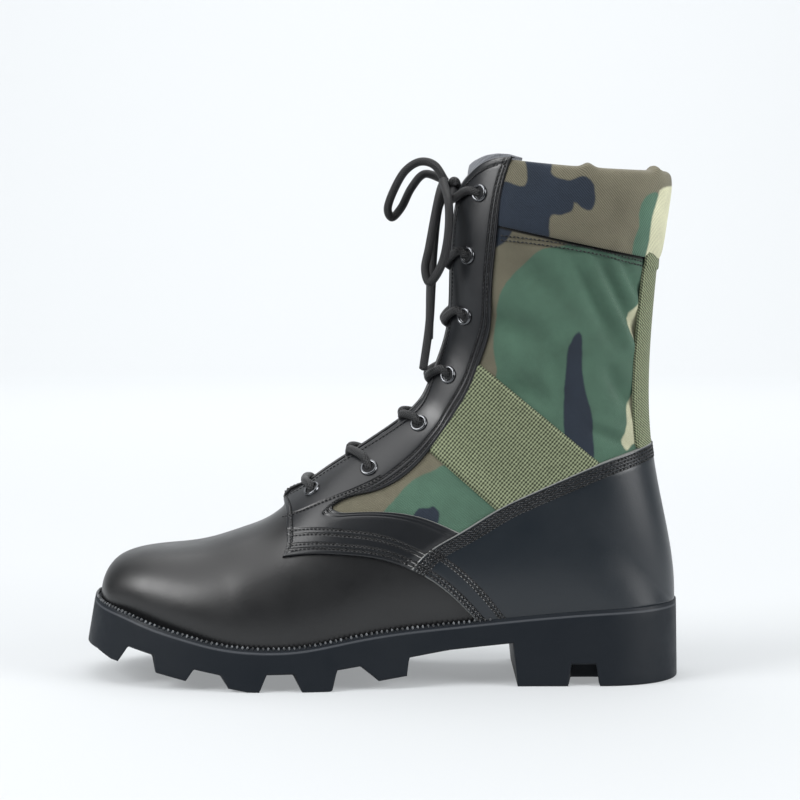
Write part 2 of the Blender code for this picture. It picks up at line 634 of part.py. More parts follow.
def make_cuff(trim):
    """A padded band around the collar, full in the middle and thin at its seam and its top edge."""
    rows = np.array([row for row in SURFACE_ROWS if row >= CUFF_ROW])
    one_side = np.linspace(0.0, 1.0, SURFACE_COLUMNS + 1)[CUFF_FIRST_COLUMN:]
    share = np.concatenate([one_side, one_side[-2::-1]])
    columns = len(share) - 1
    side = np.where(np.arange(len(share)) < len(one_side), -1.0, 1.0)
    start = throat_angle(rows)[:, None]
    angle = start + (math.pi - start) * share[None, :]
    grid = np.broadcast_to(rows[:, None], angle.shape)
    sides = np.broadcast_to(side, angle.shape)
    up = np.linspace(0.0, 1.0, len(rows))[:, None]
    swell = np.sin(math.pi * np.clip(up, 0.02, 0.98)) ** 0.5
    fade = np.clip((share - share[0]) / 0.15, 0.25, 1.0)[None, :]
    safe = np.minimum(angle, math.pi - 0.001)
    low = lifted_point(grid, sides, safe, np.full(angle.shape, GAP))
    high = lifted_point(grid, sides, safe, GAP + 0.8 + CUFF_PADDING * swell * fade)
    size = angle.size
    faces = grid_faces(low)
    rim = list(range(columns + 1)) + [i * (columns + 1) + columns for i in range(1, len(rows))]
    rim += [(len(rows) - 1) * (columns + 1) + j for j in range(columns - 1, -1, -1)]
    rim += [i * (columns + 1) for i in range(len(rows) - 2, 0, -1)]
    closed = faces + [tuple(size + v for v in face[::-1]) for face in faces]
    closed += [(a, size + a, size + b, b) for a, b in zip(rim, rim[1:] + rim[:1])]
    mesh = mesh_from("cuff", to_frame(np.concatenate([low.reshape(-1, 3), high.reshape(-1, 3)])), closed)
    solid = bmesh.new()
    solid.from_mesh(mesh)
    bmesh.ops.recalc_face_normals(solid, faces=solid.faces)
    solid.to_mesh(mesh)
    solid.free()
    cut(add_object("cuff", mesh, CUFF_CANVAS), trim)


def make_backstay(trim):
    rows = np.linspace(BACKSTAY_ROW, CUFF_ROW - 0.03, 10)
    half = angle_at_half_width(rows, BACKSTAY_WIDTH / 2)
    sheet = patch_sheet("backstay", rows, half, 6, GAP + 0.5, front=False)
    made = add_object("backstay", sheet, WEBBING_OLIVE)
    thicken(made, PANEL_THICKNESS, outward=True)
    cut(made, trim)


def eyelet_frame(place, side, lift):
    row, angle = locate(*place)
    centre = lifted_point(row, side, angle, lift)
    normal = upper_normal(np.asarray(row), np.asarray(side, float), np.asarray(angle))
    return centre, normal


def make_eyelets():
    """Low rings turned from a four-cornered profile and set flat on the quarter."""
    for side, word in ((-1.0, "outer"), (1.0, "inner")):
        for number, place in enumerate(EYELET_PLACES, 1):
            centre, normal = eyelet_frame(place, side, 2 * GAP + PANEL_THICKNESS)
            profile = [(EYELET_HOLE / 2, 0.0), (EYELET_OUTER / 2, 0.0),
                       (EYELET_OUTER / 2 - 0.6, EYELET_HEIGHT), (EYELET_HOLE / 2 + 0.4, EYELET_HEIGHT)]
            mesh = bpy.data.meshes.new(f"eyelet_{word}_{number}")
            edges = [(0, 1), (1, 2), (2, 3), (3, 0)]
            mesh.from_pydata([(radius * MM, 0.0, height * MM) for radius, height in profile], edges, [])
            made = add_object(f"eyelet_{word}_{number}", mesh, EYELET_METAL)
            turn = made.modifiers.new("turn", "SCREW")
            turn.angle = 2 * math.pi
            turn.steps = 8
            turn.render_steps = 8
            turn.use_merge_vertices = True
            turn.merge_threshold = 0.00001
            turn.use_normal_flip = True
            made.rotation_mode = "QUATERNION"
            made.rotation_quaternion = Vector(normal).to_track_quat("Z", "Y")
            made.location = Vector(to_frame(centre))


def smooth_route(points, pieces):
    """Points along a curve through all route points, with the same number of pieces in each span."""
    points = np.asarray(points, float)
    ends = np.concatenate([[2 * points[0] - points[1]], points, [2 * points[-1] - points[-2]]])
    route = []
    for i in range(1, len(ends) - 2):
        for share in np.arange(pieces) / pieces:
            a, b, c, d = ends[i - 1:i + 3]
            route.append(0.5 * (2 * b + (c - a) * share + (2 * a - 5 * b + 4 * c - d) * share ** 2
                                + (3 * b - a - 3 * c + d) * share ** 3))
    return np.array(route + [points[-1]])


def cord_mesh(name, route, pieces, sides=2):
    """A round cord as a closed tube along a smooth route."""
    path = smooth_route(route, pieces)
    curve = bpy.data.curves.new(name, "CURVE")
    curve.dimensions = "3D"
    curve.bevel_depth = LACE_DIAMETER / 2 * MM
    curve.bevel_resolution = sides
    curve.use_fill_caps = True
    line = curve.splines.new("POLY")
    line.points.add(len(path) - 1)
    for point, place in zip(line.points, to_frame(path)):
        point.co = (*place, 1.0)
    holder = bpy.data.objects.new(name + "_route", curve)
    bpy.context.scene.collection.objects.link(holder)
    graph = bpy.context.evaluated_depsgraph_get()
    mesh = bpy.data.meshes.new_from_object(holder.evaluated_get(graph))
    bpy.data.objects.remove(holder)
    mesh.name = name
    solid = bmesh.new()
    solid.from_mesh(mesh)
    bmesh.ops.remove_doubles(solid, verts=solid.verts, dist=0.00002)
    bmesh.ops.recalc_face_normals(solid, faces=solid.faces)
    solid.to_mesh(mesh)
    solid.free()
    mesh.materials.clear()
    return mesh


def lace_span(first, second, side):
    """From one eyelet over the throat's edge and the ridge to the eyelet on the other side."""
    row_a = locate(*first)[0]
    row_b = locate(*second)[0]
    points = []
    for share, here in ((0.25, side), (0.5, 0.0), (0.75, -side)):
        row = row_a + (row_b - row_a) * share
        if here == 0.0:
            points.append(lifted_point(row, 1.0, 0.05, LACE_RIDGE_LIFT))
        else:
            points.append(lifted_point(row, here, float(throat_angle(row)) + 0.02, LACE_EDGE_LIFT))
    return points


def lace_turn(place, side):
    """The lace's turn above an eyelet, as a point before and a point after it."""
    row, angle = locate(*place)
    return [lifted_point(row + step, side, angle, LACE_EYELET_LIFT) for step in (-0.12, 0.12)]


def make_lace():
    tubes = []
    for side in (-1.0, 1.0):
        route = []
        here = side
        if side < 0:
            route += lace_turn(EYELET_PLACES[0], 1.0)[:1]
            route += lace_span(EYELET_PLACES[0], EYELET_PLACES[0], 1.0)
        for number, place in enumerate(EYELET_PLACES):
            route += lace_turn(place, here)
            if number < len(EYELET_PLACES) - 1:
                route += lace_span(place, EYELET_PLACES[number + 1], here)
                here = -here
        row = locate(*EYELET_PLACES[-1])[0] + 0.15
        route.append(lifted_point(row, here, float(throat_angle(row)), LACE_EDGE_LIFT))
        tubes.append(cord_mesh("lace_crossings" if side < 0 else "lace_return", route, 1, 1))
    made = add_object("lace_crossings", tubes[0], LACE_CORD)
    cut(made, add_cutter("lace_return", tubes[1]), "UNION")
    knot = bmesh.new()
    bmesh.ops.create_uvsphere(knot, u_segments=10, v_segments=6, radius=1.0)
    stretch = Matrix.Diagonal((*(radius * MM for radius in KNOT_RADII), 1.0))
    bmesh.ops.transform(knot, matrix=stretch, verts=knot.verts)
    bmesh.ops.translate(knot, vec=Vector(to_frame(KNOT_CENTRE)), verts=knot.verts)
    mesh = bpy.data.meshes.new("lace_knot")
    knot.to_mesh(mesh)
    knot.free()
    add_object("lace_knot", mesh, LACE_CORD)
    for name, route in (("lace_loop_outer", LOOP_OUTER_ROUTE), ("lace_loop_inner", LOOP_INNER_ROUTE),
                        ("lace_end_outer", END_OUTER_ROUTE), ("lace_end_inner", END_INNER_ROUTE)):
        add_object(name, cord_mesh(name, route, 2, 1), LACE_CORD)


for old in list(bpy.data.objects):
    bpy.data.objects.remove(old, do_unlink=True)

PARTS = collection("canvas_hiking_boot")
CUTTERS = collection("cutters")
CUTTERS.hide_render = True

make_sole()
make_insole()
CLEARANCE = sole_clearance()
CORNER = corner_cutter()
make_upper(CLEARANCE, CORNER)
make_tongue()
QUARTER_SPACE = side_prism("quarter_space", quarter_outline(), -120.0, 120.0, GAP)
COUNTER_SPACE = side_prism("counter_space", counter_outline(), -120.0, 120.0, GAP)
for SIDE, WORD in ((-1, "outer"), (1, "inner")):
    panel(f"quarter_{WORD}", BLACK_LEATHER, quarter_outline(), (COUNTER_SPACE, CORNER), SIDE)
    panel(f"strap_{WORD}", WEBBING_OLIVE, strap_outline(), (QUARTER_SPACE, COUNTER_SPACE), SIDE)
panel("counter", BLACK_LEATHER, counter_outline(), (CLEARANCE,))
make_backstay(COUNTER_SPACE)
make_cuff(QUARTER_SPACE)
make_eyelets()
make_lace()
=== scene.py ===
"""Looks of the canvas hiking boot for the left foot, drawn over its solids in the same frame.

Tables are in millimetres on the boot's own axis, and to_frame() takes them to the frame's metres.
The toe points to -X, the outer side of the foot is -Y and up is +Z. Colours are linear red, green and blue.
"""

import math

import bmesh
import bpy
import numpy as np
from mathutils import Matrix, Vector


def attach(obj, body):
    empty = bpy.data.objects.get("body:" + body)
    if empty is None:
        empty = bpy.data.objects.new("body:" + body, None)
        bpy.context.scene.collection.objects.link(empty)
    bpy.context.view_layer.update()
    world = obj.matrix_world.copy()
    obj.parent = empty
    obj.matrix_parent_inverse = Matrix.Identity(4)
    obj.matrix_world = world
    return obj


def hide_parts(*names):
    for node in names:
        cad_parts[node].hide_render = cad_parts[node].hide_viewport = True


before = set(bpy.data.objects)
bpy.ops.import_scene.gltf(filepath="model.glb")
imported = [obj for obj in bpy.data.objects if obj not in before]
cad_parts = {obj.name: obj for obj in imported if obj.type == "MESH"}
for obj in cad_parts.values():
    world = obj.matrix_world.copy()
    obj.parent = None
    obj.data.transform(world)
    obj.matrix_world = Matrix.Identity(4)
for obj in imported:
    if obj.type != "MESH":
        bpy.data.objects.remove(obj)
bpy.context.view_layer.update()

MM = 0.001

# Driving dimensions
TOE_X = -145.8          # front of the upper where it meets the sole
HEEL_X = 149.0          # back of the upper where it meets the sole
WALL = 2.2              # thickness of the upper
SIDES = (-1.0, 1.0)     # the outer and the inner side, as signs of y
GAP = 0.3               # clearance between pieces that touch in the real boot
TONGUE_THICKNESS = 2.4
INSOLE_THICKNESS = 3.0
TUCK = 0.8              # how far the sections reach below the sole's top before they are trimmed
LACE_DIAMETER = 4.3
EYELET_OUTER = 9.3
EYELET_HOLE = 5.7
EYELET_HEIGHT = 0.9
BACKSTAY_WIDTH = 44.0

# Sole edge beyond the upper's lower edge, at its top and at its bottom
EDGE_TOP = {"toe": 2.6, "side": 3.4, "heel": 2.8}
EDGE_BOTTOM = {"toe": 6.7, "side": 5.2, "heel": 3.5}

# Plan of the upper's lower edge before its rounded ends: x, reach to the outer side, reach to the inner side
PLAN_COLUMNS = ("x", "outer", "inner")
PLAN_ROWS = (
    (-146.0, 40.0, 54.0),
    (-110.0, 43.5, 49.5),
    (-85.0, 48.5, 48.5),
    (-60.0, 51.5, 48.5),
    (-35.0, 50.5, 46.0),
    (-10.0, 46.0, 41.0),
    (15.0, 40.5, 35.5),
    (40.0, 36.8, 33.0),
    (65.0, 35.2, 33.2),
    (90.0, 34.8, 34.2),
    (115.0, 34.5, 34.5),
    (150.0, 34.5, 34.5),
)
TOE_ROUND_X = -85.0
TOE_ROUND_POWER = 2.3
HEEL_ROUND_X = 111.0
HEEL_ROUND_POWER = 2.1

# Top of the sole and lowest line of its lugs along the foot: x and z
SOLE_TOP = (
    (-155.0, 44.0), (-146.0, 40.3), (-131.0, 36.4), (-117.0, 32.0), (-98.0, 27.0), (-81.0, 23.3),
    (-60.0, 21.4), (-41.0, 22.0), (-13.0, 26.6), (10.0, 29.6), (33.0, 31.6), (60.0, 34.1),
    (85.0, 36.4), (106.0, 38.0), (127.0, 39.0), (155.0, 39.5),
)
LUG_LINE = (
    (-153.0, 17.5), (-145.0, 16.0), (-137.0, 12.3), (-113.5, 8.0), (-98.0, 4.8), (-77.0, 1.9),
    (-66.0, 0.0), (-26.0, 0.0), (-1.4, 4.3), (12.3, 6.3), (40.0, 3.0), (66.0, 0.0), (153.0, 0.0),
)

# Grooves between the lugs, seen from the side: where each starts and ends at the lug tips and the web above
GROOVE_COLUMNS = ("tip_start", "web_start", "web_start_z", "web_end", "web_end_z", "tip_end")
GROOVE_ROWS = (
    (-132.5, -128.5, 19.8, -115.0, 16.4, -113.5),
    (-98.0, -95.0, 10.6, -81.0, 8.0, -77.0),
    (-61.0, -58.5, 8.6, -44.6, 8.9, -40.0),
    (-24.5, -23.0, 10.4, -11.0, 12.1, -1.4),
)
ARCH_OUTLINE = ((12.3, -6.0), (13.3, 15.4), (33.0, 18.6), (66.0, 21.7), (69.0, -6.0))
HEEL_NOTCH_OUTLINE = ((87.0, -6.0), (89.0, 11.0), (102.0, 11.0), (104.0, -6.0))
HEEL_NOTCH_SKEW = 9.0
CENTRE_LUG_HALF = 13.0
CHANNEL_WIDTH = 6.0
CHANNEL_DEPTH = 6.0
GROOVE_EDGE_Y = -40.0            # where the table's places hold; beyond it the grooves fan out
GROOVE_FAN = {"x": 9.0, "reach": 1400.0}
HEEL_WELL = {"x": (84.0, 130.0), "half": 11.0, "depth": 6.0}

# Sections of the upper: front point on the ridge or throat, back point, half-width, roundness, collar dip.
# Up to HEEL_ROW the back point lies on the sole's top, whose own line gives its height.
UPPER_COLUMNS = ("front_x", "front_z", "back_x", "back_z", "half", "round", "dip")
UPPER_ROWS = (
    (-145.8, 40.0, -145.8, 40.0, 0.0, 0.80, 0.0),
    (-143.8, 49.5, -141.0, 38.4, 21.0, 0.80, 0.0),
    (-138.5, 58.2, -132.5, 36.9, 30.5, 0.80, 0.0),
    (-128.0, 63.7, -117.5, 32.1, 38.5, 0.80, 0.0),
    (-112.0, 66.6, -99.5, 27.3, 44.8, 0.80, 0.0),
    (-92.0, 69.2, -79.0, 22.9, 49.2, 0.82, 0.0),
    (-72.0, 75.4, -57.0, 21.3, 51.2, 0.86, 0.0),
    (-55.0, 83.3, -33.0, 22.5, 49.8, 0.90, 0.0),
    (-36.5, 99.6, -5.0, 27.8, 45.8, 0.92, 0.0),
    (-15.0, 115.2, 28.0, 31.0, 41.2, 0.92, 0.0),
    (2.0, 127.4, 62.0, 34.4, 38.6, 0.90, 0.0),
    (12.2, 136.0, 92.0, 37.0, 37.7, 0.88, 0.0),
    (19.4, 145.0, 116.0, 38.5, 37.2, 0.86, 0.0),
    (24.0, 155.0, 133.0, 39.0, 37.0, 0.84, 0.0),
    (27.7, 164.5, 144.0, 39.3, 37.0, 0.83, 0.0),
    (30.5, 173.0, 149.0, 38.7, 37.0, 0.82, 0.0),
    (32.4, 181.0, 148.4, 54.0, 37.1, 0.81, 0.0),
    (33.4, 189.0, 145.6, 73.0, 37.4, 0.80, 0.0),
    (33.9, 198.0, 141.2, 95.0, 37.9, 0.80, 0.0),
    (34.2, 208.0, 137.0, 121.0, 38.8, 0.80, 0.0),
    (34.7, 219.0, 135.6, 150.0, 39.9, 0.80, 0.1),
    (35.4, 228.0, 137.0, 183.0, 41.0, 0.80, 0.3),
    (36.4, 236.5, 139.6, 215.0, 42.0, 0.80, 0.6),
    (38.8, 250.0, 141.0, 237.0, 42.6, 0.80, 1.4),
    (42.0, 265.0, 144.0, 256.0, 43.0, 0.80, 2.2),
    (45.2, 280.0, 147.0, 275.0, 43.4, 0.80, 2.6),
)
FULLEST = 0.985         # most of a section's half-width that its foot or throat edge may take
HEEL_ROW = 15
COLLAR_ROW = 24.0

# Half the throat's opening along the rows: row and half-width
THROAT_ROWS = ((7.3, 0.0), (7.43, 4.0), (7.65, 7.0), (8.1, 9.0), (10.0, 10.5), (16.0, 13.0), (25.0, 16.0))
TONGUE_START_ROW = 7.5
TONGUE_HALF = 27.0

# Panels seen from the side, x and z
QUARTER_REAR = (
    (65.0, 264.5), (60.4, 248.2), (57.8, 227.5), (55.0, 191.7), (54.7, 180.1), (50.1, 163.5), (44.1, 147.9),
    (34.5, 131.7), (23.4, 116.6), (8.8, 103.2), (-5.3, 97.0), (-23.0, 91.0),
)
QUARTER_WINDOW = ((-24.5, 89.4), (-22.5, 88.0), (-15.0, 87.3), (8.8, 87.3), (22.8, 84.3), (39.0, 77.5))
COUNTER_TOP = (
    (14.6, 59.8), (20.8, 66.6), (37.8, 76.9), (56.9, 88.3), (76.9, 98.3), (90.9, 104.6), (111.2, 112.9),
    (137.5, 120.3), (160.0, 124.0),
)
QUARTER_LOWER = (
    (14.5, 59.3), (-0.2, 64.6), (-19.1, 67.0), (-33.1, 67.3), (-49.2, 65.4), (-47.3, 70.0), (-47.6, 84.5),
    (-48.6, 92.0),
)
COUNTER_FRONT = ((49.1, 31.3), (36.8, 44.3), (25.3, 53.6))
COLLAR_CORNER = ((35.6, 236.0), (38.2, 244.5), (42.6, 252.9), (48.0, 259.4), (56.3, 264.0), (66.0, 264.6))

# Eyelets from the lowest up, seen from the side
EYELET_PLACES = (
    (-34.4, 96.3), (-5.9, 108.0), (19.5, 130.1), (34.7, 155.3), (42.9, 185.3), (44.4, 215.8), (50.0, 246.8),
)

# Routes of the free lace: the bow's loops and ends, chosen point by point
KNOT_CENTRE = (37.4, 0.0, 251.0)
LOOP_INNER_ROUTE = (
    (32.5, 2.6, 253.4), (27.0, 4.0, 261.6), (19.5, 5.5, 263.4), (12.0, 7.5, 258.8), (6.4, 9.5, 249.5),
    (3.0, 11.5, 239.8), (5.2, 13.5, 235.0), (10.2, 15.5, 240.4), (15.2, 16.5, 250.2), (22.0, 15.5, 257.4),
    (31.5, 9.4, 254.5),
)
LOOP_OUTER_ROUTE = (
    (31.7, -2.8, 253.6), (29.5, -9.5, 247.5), (27.0, -15.0, 236.0), (24.0, -20.5, 220.0),
    (21.9, -24.0, 209.0), (24.4, -27.0, 202.4), (30.4, -29.5, 212.0), (33.4, -30.5, 227.0),
    (33.6, -26.5, 242.0), (31.0, -13.5, 253.5),
)
END_OUTER_ROUTE = (
    (32.5, -2.6, 248.5), (28.5, -6.5, 238.0), (26.2, -11.5, 217.0), (25.2, -15.5, 198.0),
    (24.0, -18.5, 180.0), (21.0, -20.5, 158.5),
)
END_INNER_ROUTE = (
    (32.5, 2.6, 248.5), (28.0, 8.0, 238.0), (25.6, 14.0, 218.0), (25.0, 18.0, 198.0), (24.8, 18.5, 184.0),
    (24.4, 18.0, 172.0),
)


def spline(knots, values, at):
    """Natural cubic spline: the line between two knots plus the cubes of both shares times the bends."""
    knots = np.asarray(knots, float)
    values = np.asarray(values, float)
    step = np.diff(knots)
    slope = np.diff(values) / step
    count = len(knots)
    system = np.eye(count)
    rhs = np.zeros(count)
    for i in range(1, count - 1):
        system[i, i - 1:i + 2] = step[i - 1], 2 * (step[i - 1] + step[i]), step[i]
        rhs[i] = 6 * (slope[i] - slope[i - 1])
    bend = np.linalg.solve(system, rhs)
    at = np.asarray(at, float)
    i = np.clip(np.searchsorted(knots, at) - 1, 0, count - 2)
    right = (at - knots[i]) / step[i]
    left = 1 - right
    curve = ((left ** 3 - left) * bend[i] + (right ** 3 - right) * bend[i + 1]) * step[i] ** 2 / 6
    return left * values[i] + right * values[i + 1] + curve


def column(rows, columns, name):
    """One named column of a table."""
    return np.array([row[columns.index(name)] for row in rows], float)


def sole_top(x):
    """Height of the sole's top: a cubic spline through its table."""
    return spline(*np.transpose(SOLE_TOP), x)


def lug_line(x):
    """Lowest height of the lugs: straight lines through its table."""
    return np.interp(x, *np.transpose(LUG_LINE))


def foot_plan(x, edge=None):
    """Middle line and half-width of the foot's plan at x, grown by the edge's toe, side and heel reach.

    Splines give the outer and inner reach. The half-width is rounded at both ends: share s of an end's
    length, to a power p, leaves (1 - s^p)^(1/p) of it.
    """
    edge = edge or {"toe": 0.0, "side": 0.0, "heel": 0.0}
    knots = column(PLAN_ROWS, PLAN_COLUMNS, "x")
    inside = np.clip(x, knots[0], knots[-1])
    outer = spline(knots, column(PLAN_ROWS, PLAN_COLUMNS, "outer"), inside)
    inner = spline(knots, column(PLAN_ROWS, PLAN_COLUMNS, "inner"), inside)
    toe_length = TOE_ROUND_X - (TOE_X - edge["toe"])
    heel_length = HEEL_X + edge["heel"] - HEEL_ROUND_X
    toe = np.clip((TOE_ROUND_X - x) / toe_length, 0, 1)
    heel = np.clip((x - HEEL_ROUND_X) / heel_length, 0, 1)
    rounding = (1 - toe ** TOE_ROUND_POWER) ** (1 / TOE_ROUND_POWER)
    rounding = rounding * (1 - heel ** HEEL_ROUND_POWER) ** (1 / HEEL_ROUND_POWER)
    return (inner - outer) / 2, ((inner + outer) / 2 + edge["side"]) * rounding


def centre_shift():
    """Sideways shift that puts the middle of the sole's widest reach on the frame's X axis."""
    x = np.linspace(TOE_X, HEEL_X, 200)
    middle, half = foot_plan(x, EDGE_BOTTOM)
    return -((middle - half).min() + (middle + half).max()) / 2


SHIFT_Y = centre_shift()


def to_frame(points):
    """Millimetres on the boot's own axis to metres in the frame."""
    points = np.asarray(points, float)
    return (points + np.array([0.0, SHIFT_Y, 0.0])) * MM


def section(row):
    """Front and back points, middle, half-width, exponent, dip and end angle of the sections at the rows.

    All are splines over the row number. Up to the heel the back point lies on the sole's top, and the end
    angle is where the section has drawn in to the foot's plan.
    """
    row = np.asarray(row, float)
    index = np.arange(len(UPPER_ROWS))
    table = {name: column(UPPER_ROWS, UPPER_COLUMNS, name) for name in UPPER_COLUMNS}
    found = {name: spline(index, table[name], row) for name in ("front_x", "front_z", "half", "round", "dip")}
    on_foot = row < HEEL_ROW
    foot_x = spline(index[:HEEL_ROW + 1], table["back_x"][:HEEL_ROW + 1], np.clip(row, 0, HEEL_ROW))
    seam_row = np.clip(row, HEEL_ROW, index[-1])
    seam_x = spline(index[HEEL_ROW:], table["back_x"][HEEL_ROW:], seam_row)
    seam_z = spline(index[HEEL_ROW:], table["back_z"][HEEL_ROW:], seam_row)
    found["back_x"] = np.where(on_foot, foot_x, seam_x)
    found["back_z"] = np.where(on_foot, sole_top(foot_x) - TUCK, seam_z)
    middle, feather = foot_plan(foot_x)
    found["half"] = np.maximum(found["half"], 0.01)
    found["middle"] = np.where(on_foot, middle, 0.0)
    share = np.clip(feather / found["half"], 0.0, FULLEST)
    foot_angle = math.pi - np.arcsin(share ** (1 / found["round"]))
    found["end_angle"] = np.where(on_foot, foot_angle, math.pi)
    return found


def angle_at_half_width(row, half):
    """Section angle near the front at which the surface is that far from the middle.

    It is the arcsine of the share of the half-width to the power of one over the roundness.
    """
    found = section(row)
    share = np.clip(np.asarray(half, float) / found["half"], 0.0, FULLEST)
    return np.arcsin(share ** (1 / found["round"]))


def throat_angle(row):
    """Section angle of the throat's edge, from the table of its half-widths."""
    return angle_at_half_width(row, np.interp(row, *np.transpose(THROAT_ROWS)))


def upper_point(row, side, angle):
    """Point of the upper's outer surface: side is -1 outside and +1 inside, angle runs from front to back.

    x and z run from the front to the back point by one minus the angle's cosine, less the collar's dip times
    the sine squared. y is the middle line plus the half-width times the sine to the power of the roundness.
    """
    found = section(row)
    across = (1 - np.cos(angle)) / (1 - np.cos(found["end_angle"]))
    x = found["front_x"] + across * (found["back_x"] - found["front_x"])
    z = found["front_z"] + across * (found["back_z"] - found["front_z"]) - found["dip"] * np.sin(angle) ** 2
    y = found["middle"] + side * found["half"] * np.maximum(np.sin(angle), 0.0) ** found["round"]
    return np.stack(np.broadcast_arrays(x, y, z), axis=-1)


def upper_normal(row, side, angle):
    """Outward direction of the surface: the cross product of small steps across and along the sections."""
    step = 0.01
    angle = np.maximum(angle, step)
    along = upper_point(row + step, side, angle) - upper_point(row - step, side, angle)
    across = upper_point(row, side, angle + step) - upper_point(row, side, angle - step)
    normal = np.cross(across, along) * -np.asarray(side, float)[..., None]
    return normal / np.linalg.norm(normal, axis=-1, keepdims=True)


def lifted_point(row, side, angle, lift):
    """Point of the surface, moved by the lift along its normal."""
    row, side, angle = (np.asarray(value, float) for value in (row, side, angle))
    return upper_point(row, side, angle) + np.asarray(lift, float)[..., None] * upper_normal(row, side, angle)


def stations(count, end):
    """Shares of the foot's length by half a cosine wave, which lie close at the rounded toe and heel."""
    return (1 - np.cos(np.linspace(0, math.pi, count))) / 2 * (1 - 2 * end) + end


def edge_line(share, edge):
    """x, outer y and inner y of the foot's grown plan: the middle line less and plus the half-width."""
    front = TOE_X - edge["toe"]
    x = front + (HEEL_X + edge["heel"] - front) * share
    middle, half = foot_plan(x, edge)
    return x, middle - half, middle + half


def curve_between(a, b, c, d, share):
    """Cubic from b to c whose slopes there are half the steps from a to c and from b to d."""
    bend = 2 * a - 5 * b + 4 * c - d
    return 0.5 * (2 * b + (c - a) * share + bend * share ** 2 + (3 * b - a - 3 * c + d) * share ** 3)


def smooth_route(points, pieces):
    """Points along cubics through all route points, with the same number of pieces in each span."""
    points = np.asarray(points, float)
    ends = np.concatenate([[2 * points[0] - points[1]], points, [2 * points[-1] - points[-2]]])
    share = (np.arange(pieces) / pieces)[None, :, None]
    spans = curve_between(*(ends[k:k + len(points) - 1, None] for k in range(4)), share)
    return np.concatenate([spans.reshape(-1, 3), points[-1:]])


SHEET_WALL = 0.6        # thickness of a panel's own sheet
WELD = 2e-6             # points nearer than this, in metres, are one
NO_LENGTH = 1e-7
DIP_ROUNDS = 2          # rounds in which a place on the surface is found with the collar's dip
HALVINGS = 36
TUBE_CAPS = (0.25, 0.7, 0.93)       # shares of the radius in the rings that close a tube
TUBE_START = (0.3, 0.2, 0.9)        # any direction that no route starts along


def locate(x, z):
    """Rows and angles of places seen from the side.

    The row is halved until the place lies on its section's line, and the angle is the one whose cosine gives
    the place's share of that line.
    """
    x, z = np.broadcast_arrays(np.asarray(x, float), np.asarray(z, float))
    raised = z
    for _ in range(DIP_ROUNDS):
        low = np.full(x.shape, 0.5)
        high = np.full(x.shape, len(UPPER_ROWS) - 1.0)
        for _ in range(HALVINGS):
            row = (low + high) / 2
            found = section(row)
            reach_x = found["back_x"] - found["front_x"]
            reach_z = found["back_z"] - found["front_z"]
            above = reach_x * (raised - found["front_z"]) - reach_z * (x - found["front_x"]) > 0
            low = np.where(above, row, low)
            high = np.where(above, high, row)
        across = (x - found["front_x"]) * reach_x + (raised - found["front_z"]) * reach_z
        across = across / (reach_x ** 2 + reach_z ** 2)
        angle = np.arccos(np.clip(1 - across * (1 - np.cos(found["end_angle"])), -1, 1))
        raised = z + found["dip"] * np.sin(angle) ** 2
    return row, angle


def unit(vectors):
    """Vectors divided by their lengths."""
    return vectors / np.maximum(np.linalg.norm(vectors, axis=-1, keepdims=True), 1e-12)


def run_length(points):
    """Length along a line of points up to each of them: the running sum of its steps."""
    steps = np.linalg.norm(np.diff(points, axis=0), axis=-1)
    return np.concatenate([np.zeros((1,) + steps.shape[1:]), np.cumsum(steps, axis=0)])


def smooth_curve(points, count):
    """Points evenly along a cubic spline through the given ones, read by running length."""
    points = np.asarray(points, float)
    length = run_length(points)
    at = np.linspace(0, length[-1], count)
    return np.stack([spline(length, points[:, k], at) for k in range(points.shape[1])], axis=-1)


def soft_step(value, low, high):
    """0 below low, 1 above high, and three times the share squared less twice its cube between."""
    share = np.clip((np.asarray(value, float) - low) / (high - low), 0, 1)
    return share * share * (3 - 2 * share)


def plateau(value, rise, fall):
    """1 between a soft rise and a soft fall, each given by its two ends."""
    return soft_step(value, *rise) * (1 - soft_step(value, *fall))


def copies(faces, size, count):
    """The same faces for each of a count of copies that have that many points."""
    faces = np.asarray(faces)
    return (faces[None] + size * np.arange(count)[:, None, None]).reshape(-1, faces.shape[1]).tolist()


def rounded_rise(distance, radius):
    """Height share of a rounded edge: a quarter circle from 0 at the edge to 1 at the radius."""
    share = np.clip(np.asarray(distance, float) / radius, 0, 1)
    return np.sqrt(np.maximum(1 - (1 - share) ** 2, 0))


def grid_quads(rows, columns, start=0, wrap_columns=False):
    """Faces of a grid of points numbered row by row, each between four neighbours."""
    index = start + np.arange(rows * columns).reshape(rows, columns)
    if wrap_columns:
        index = np.concatenate([index, index[:, :1]], axis=1)
    corners = index[:-1, :-1], index[:-1, 1:], index[1:, 1:], index[1:, :-1]
    return np.stack(corners, axis=-1).reshape(-1, 4)


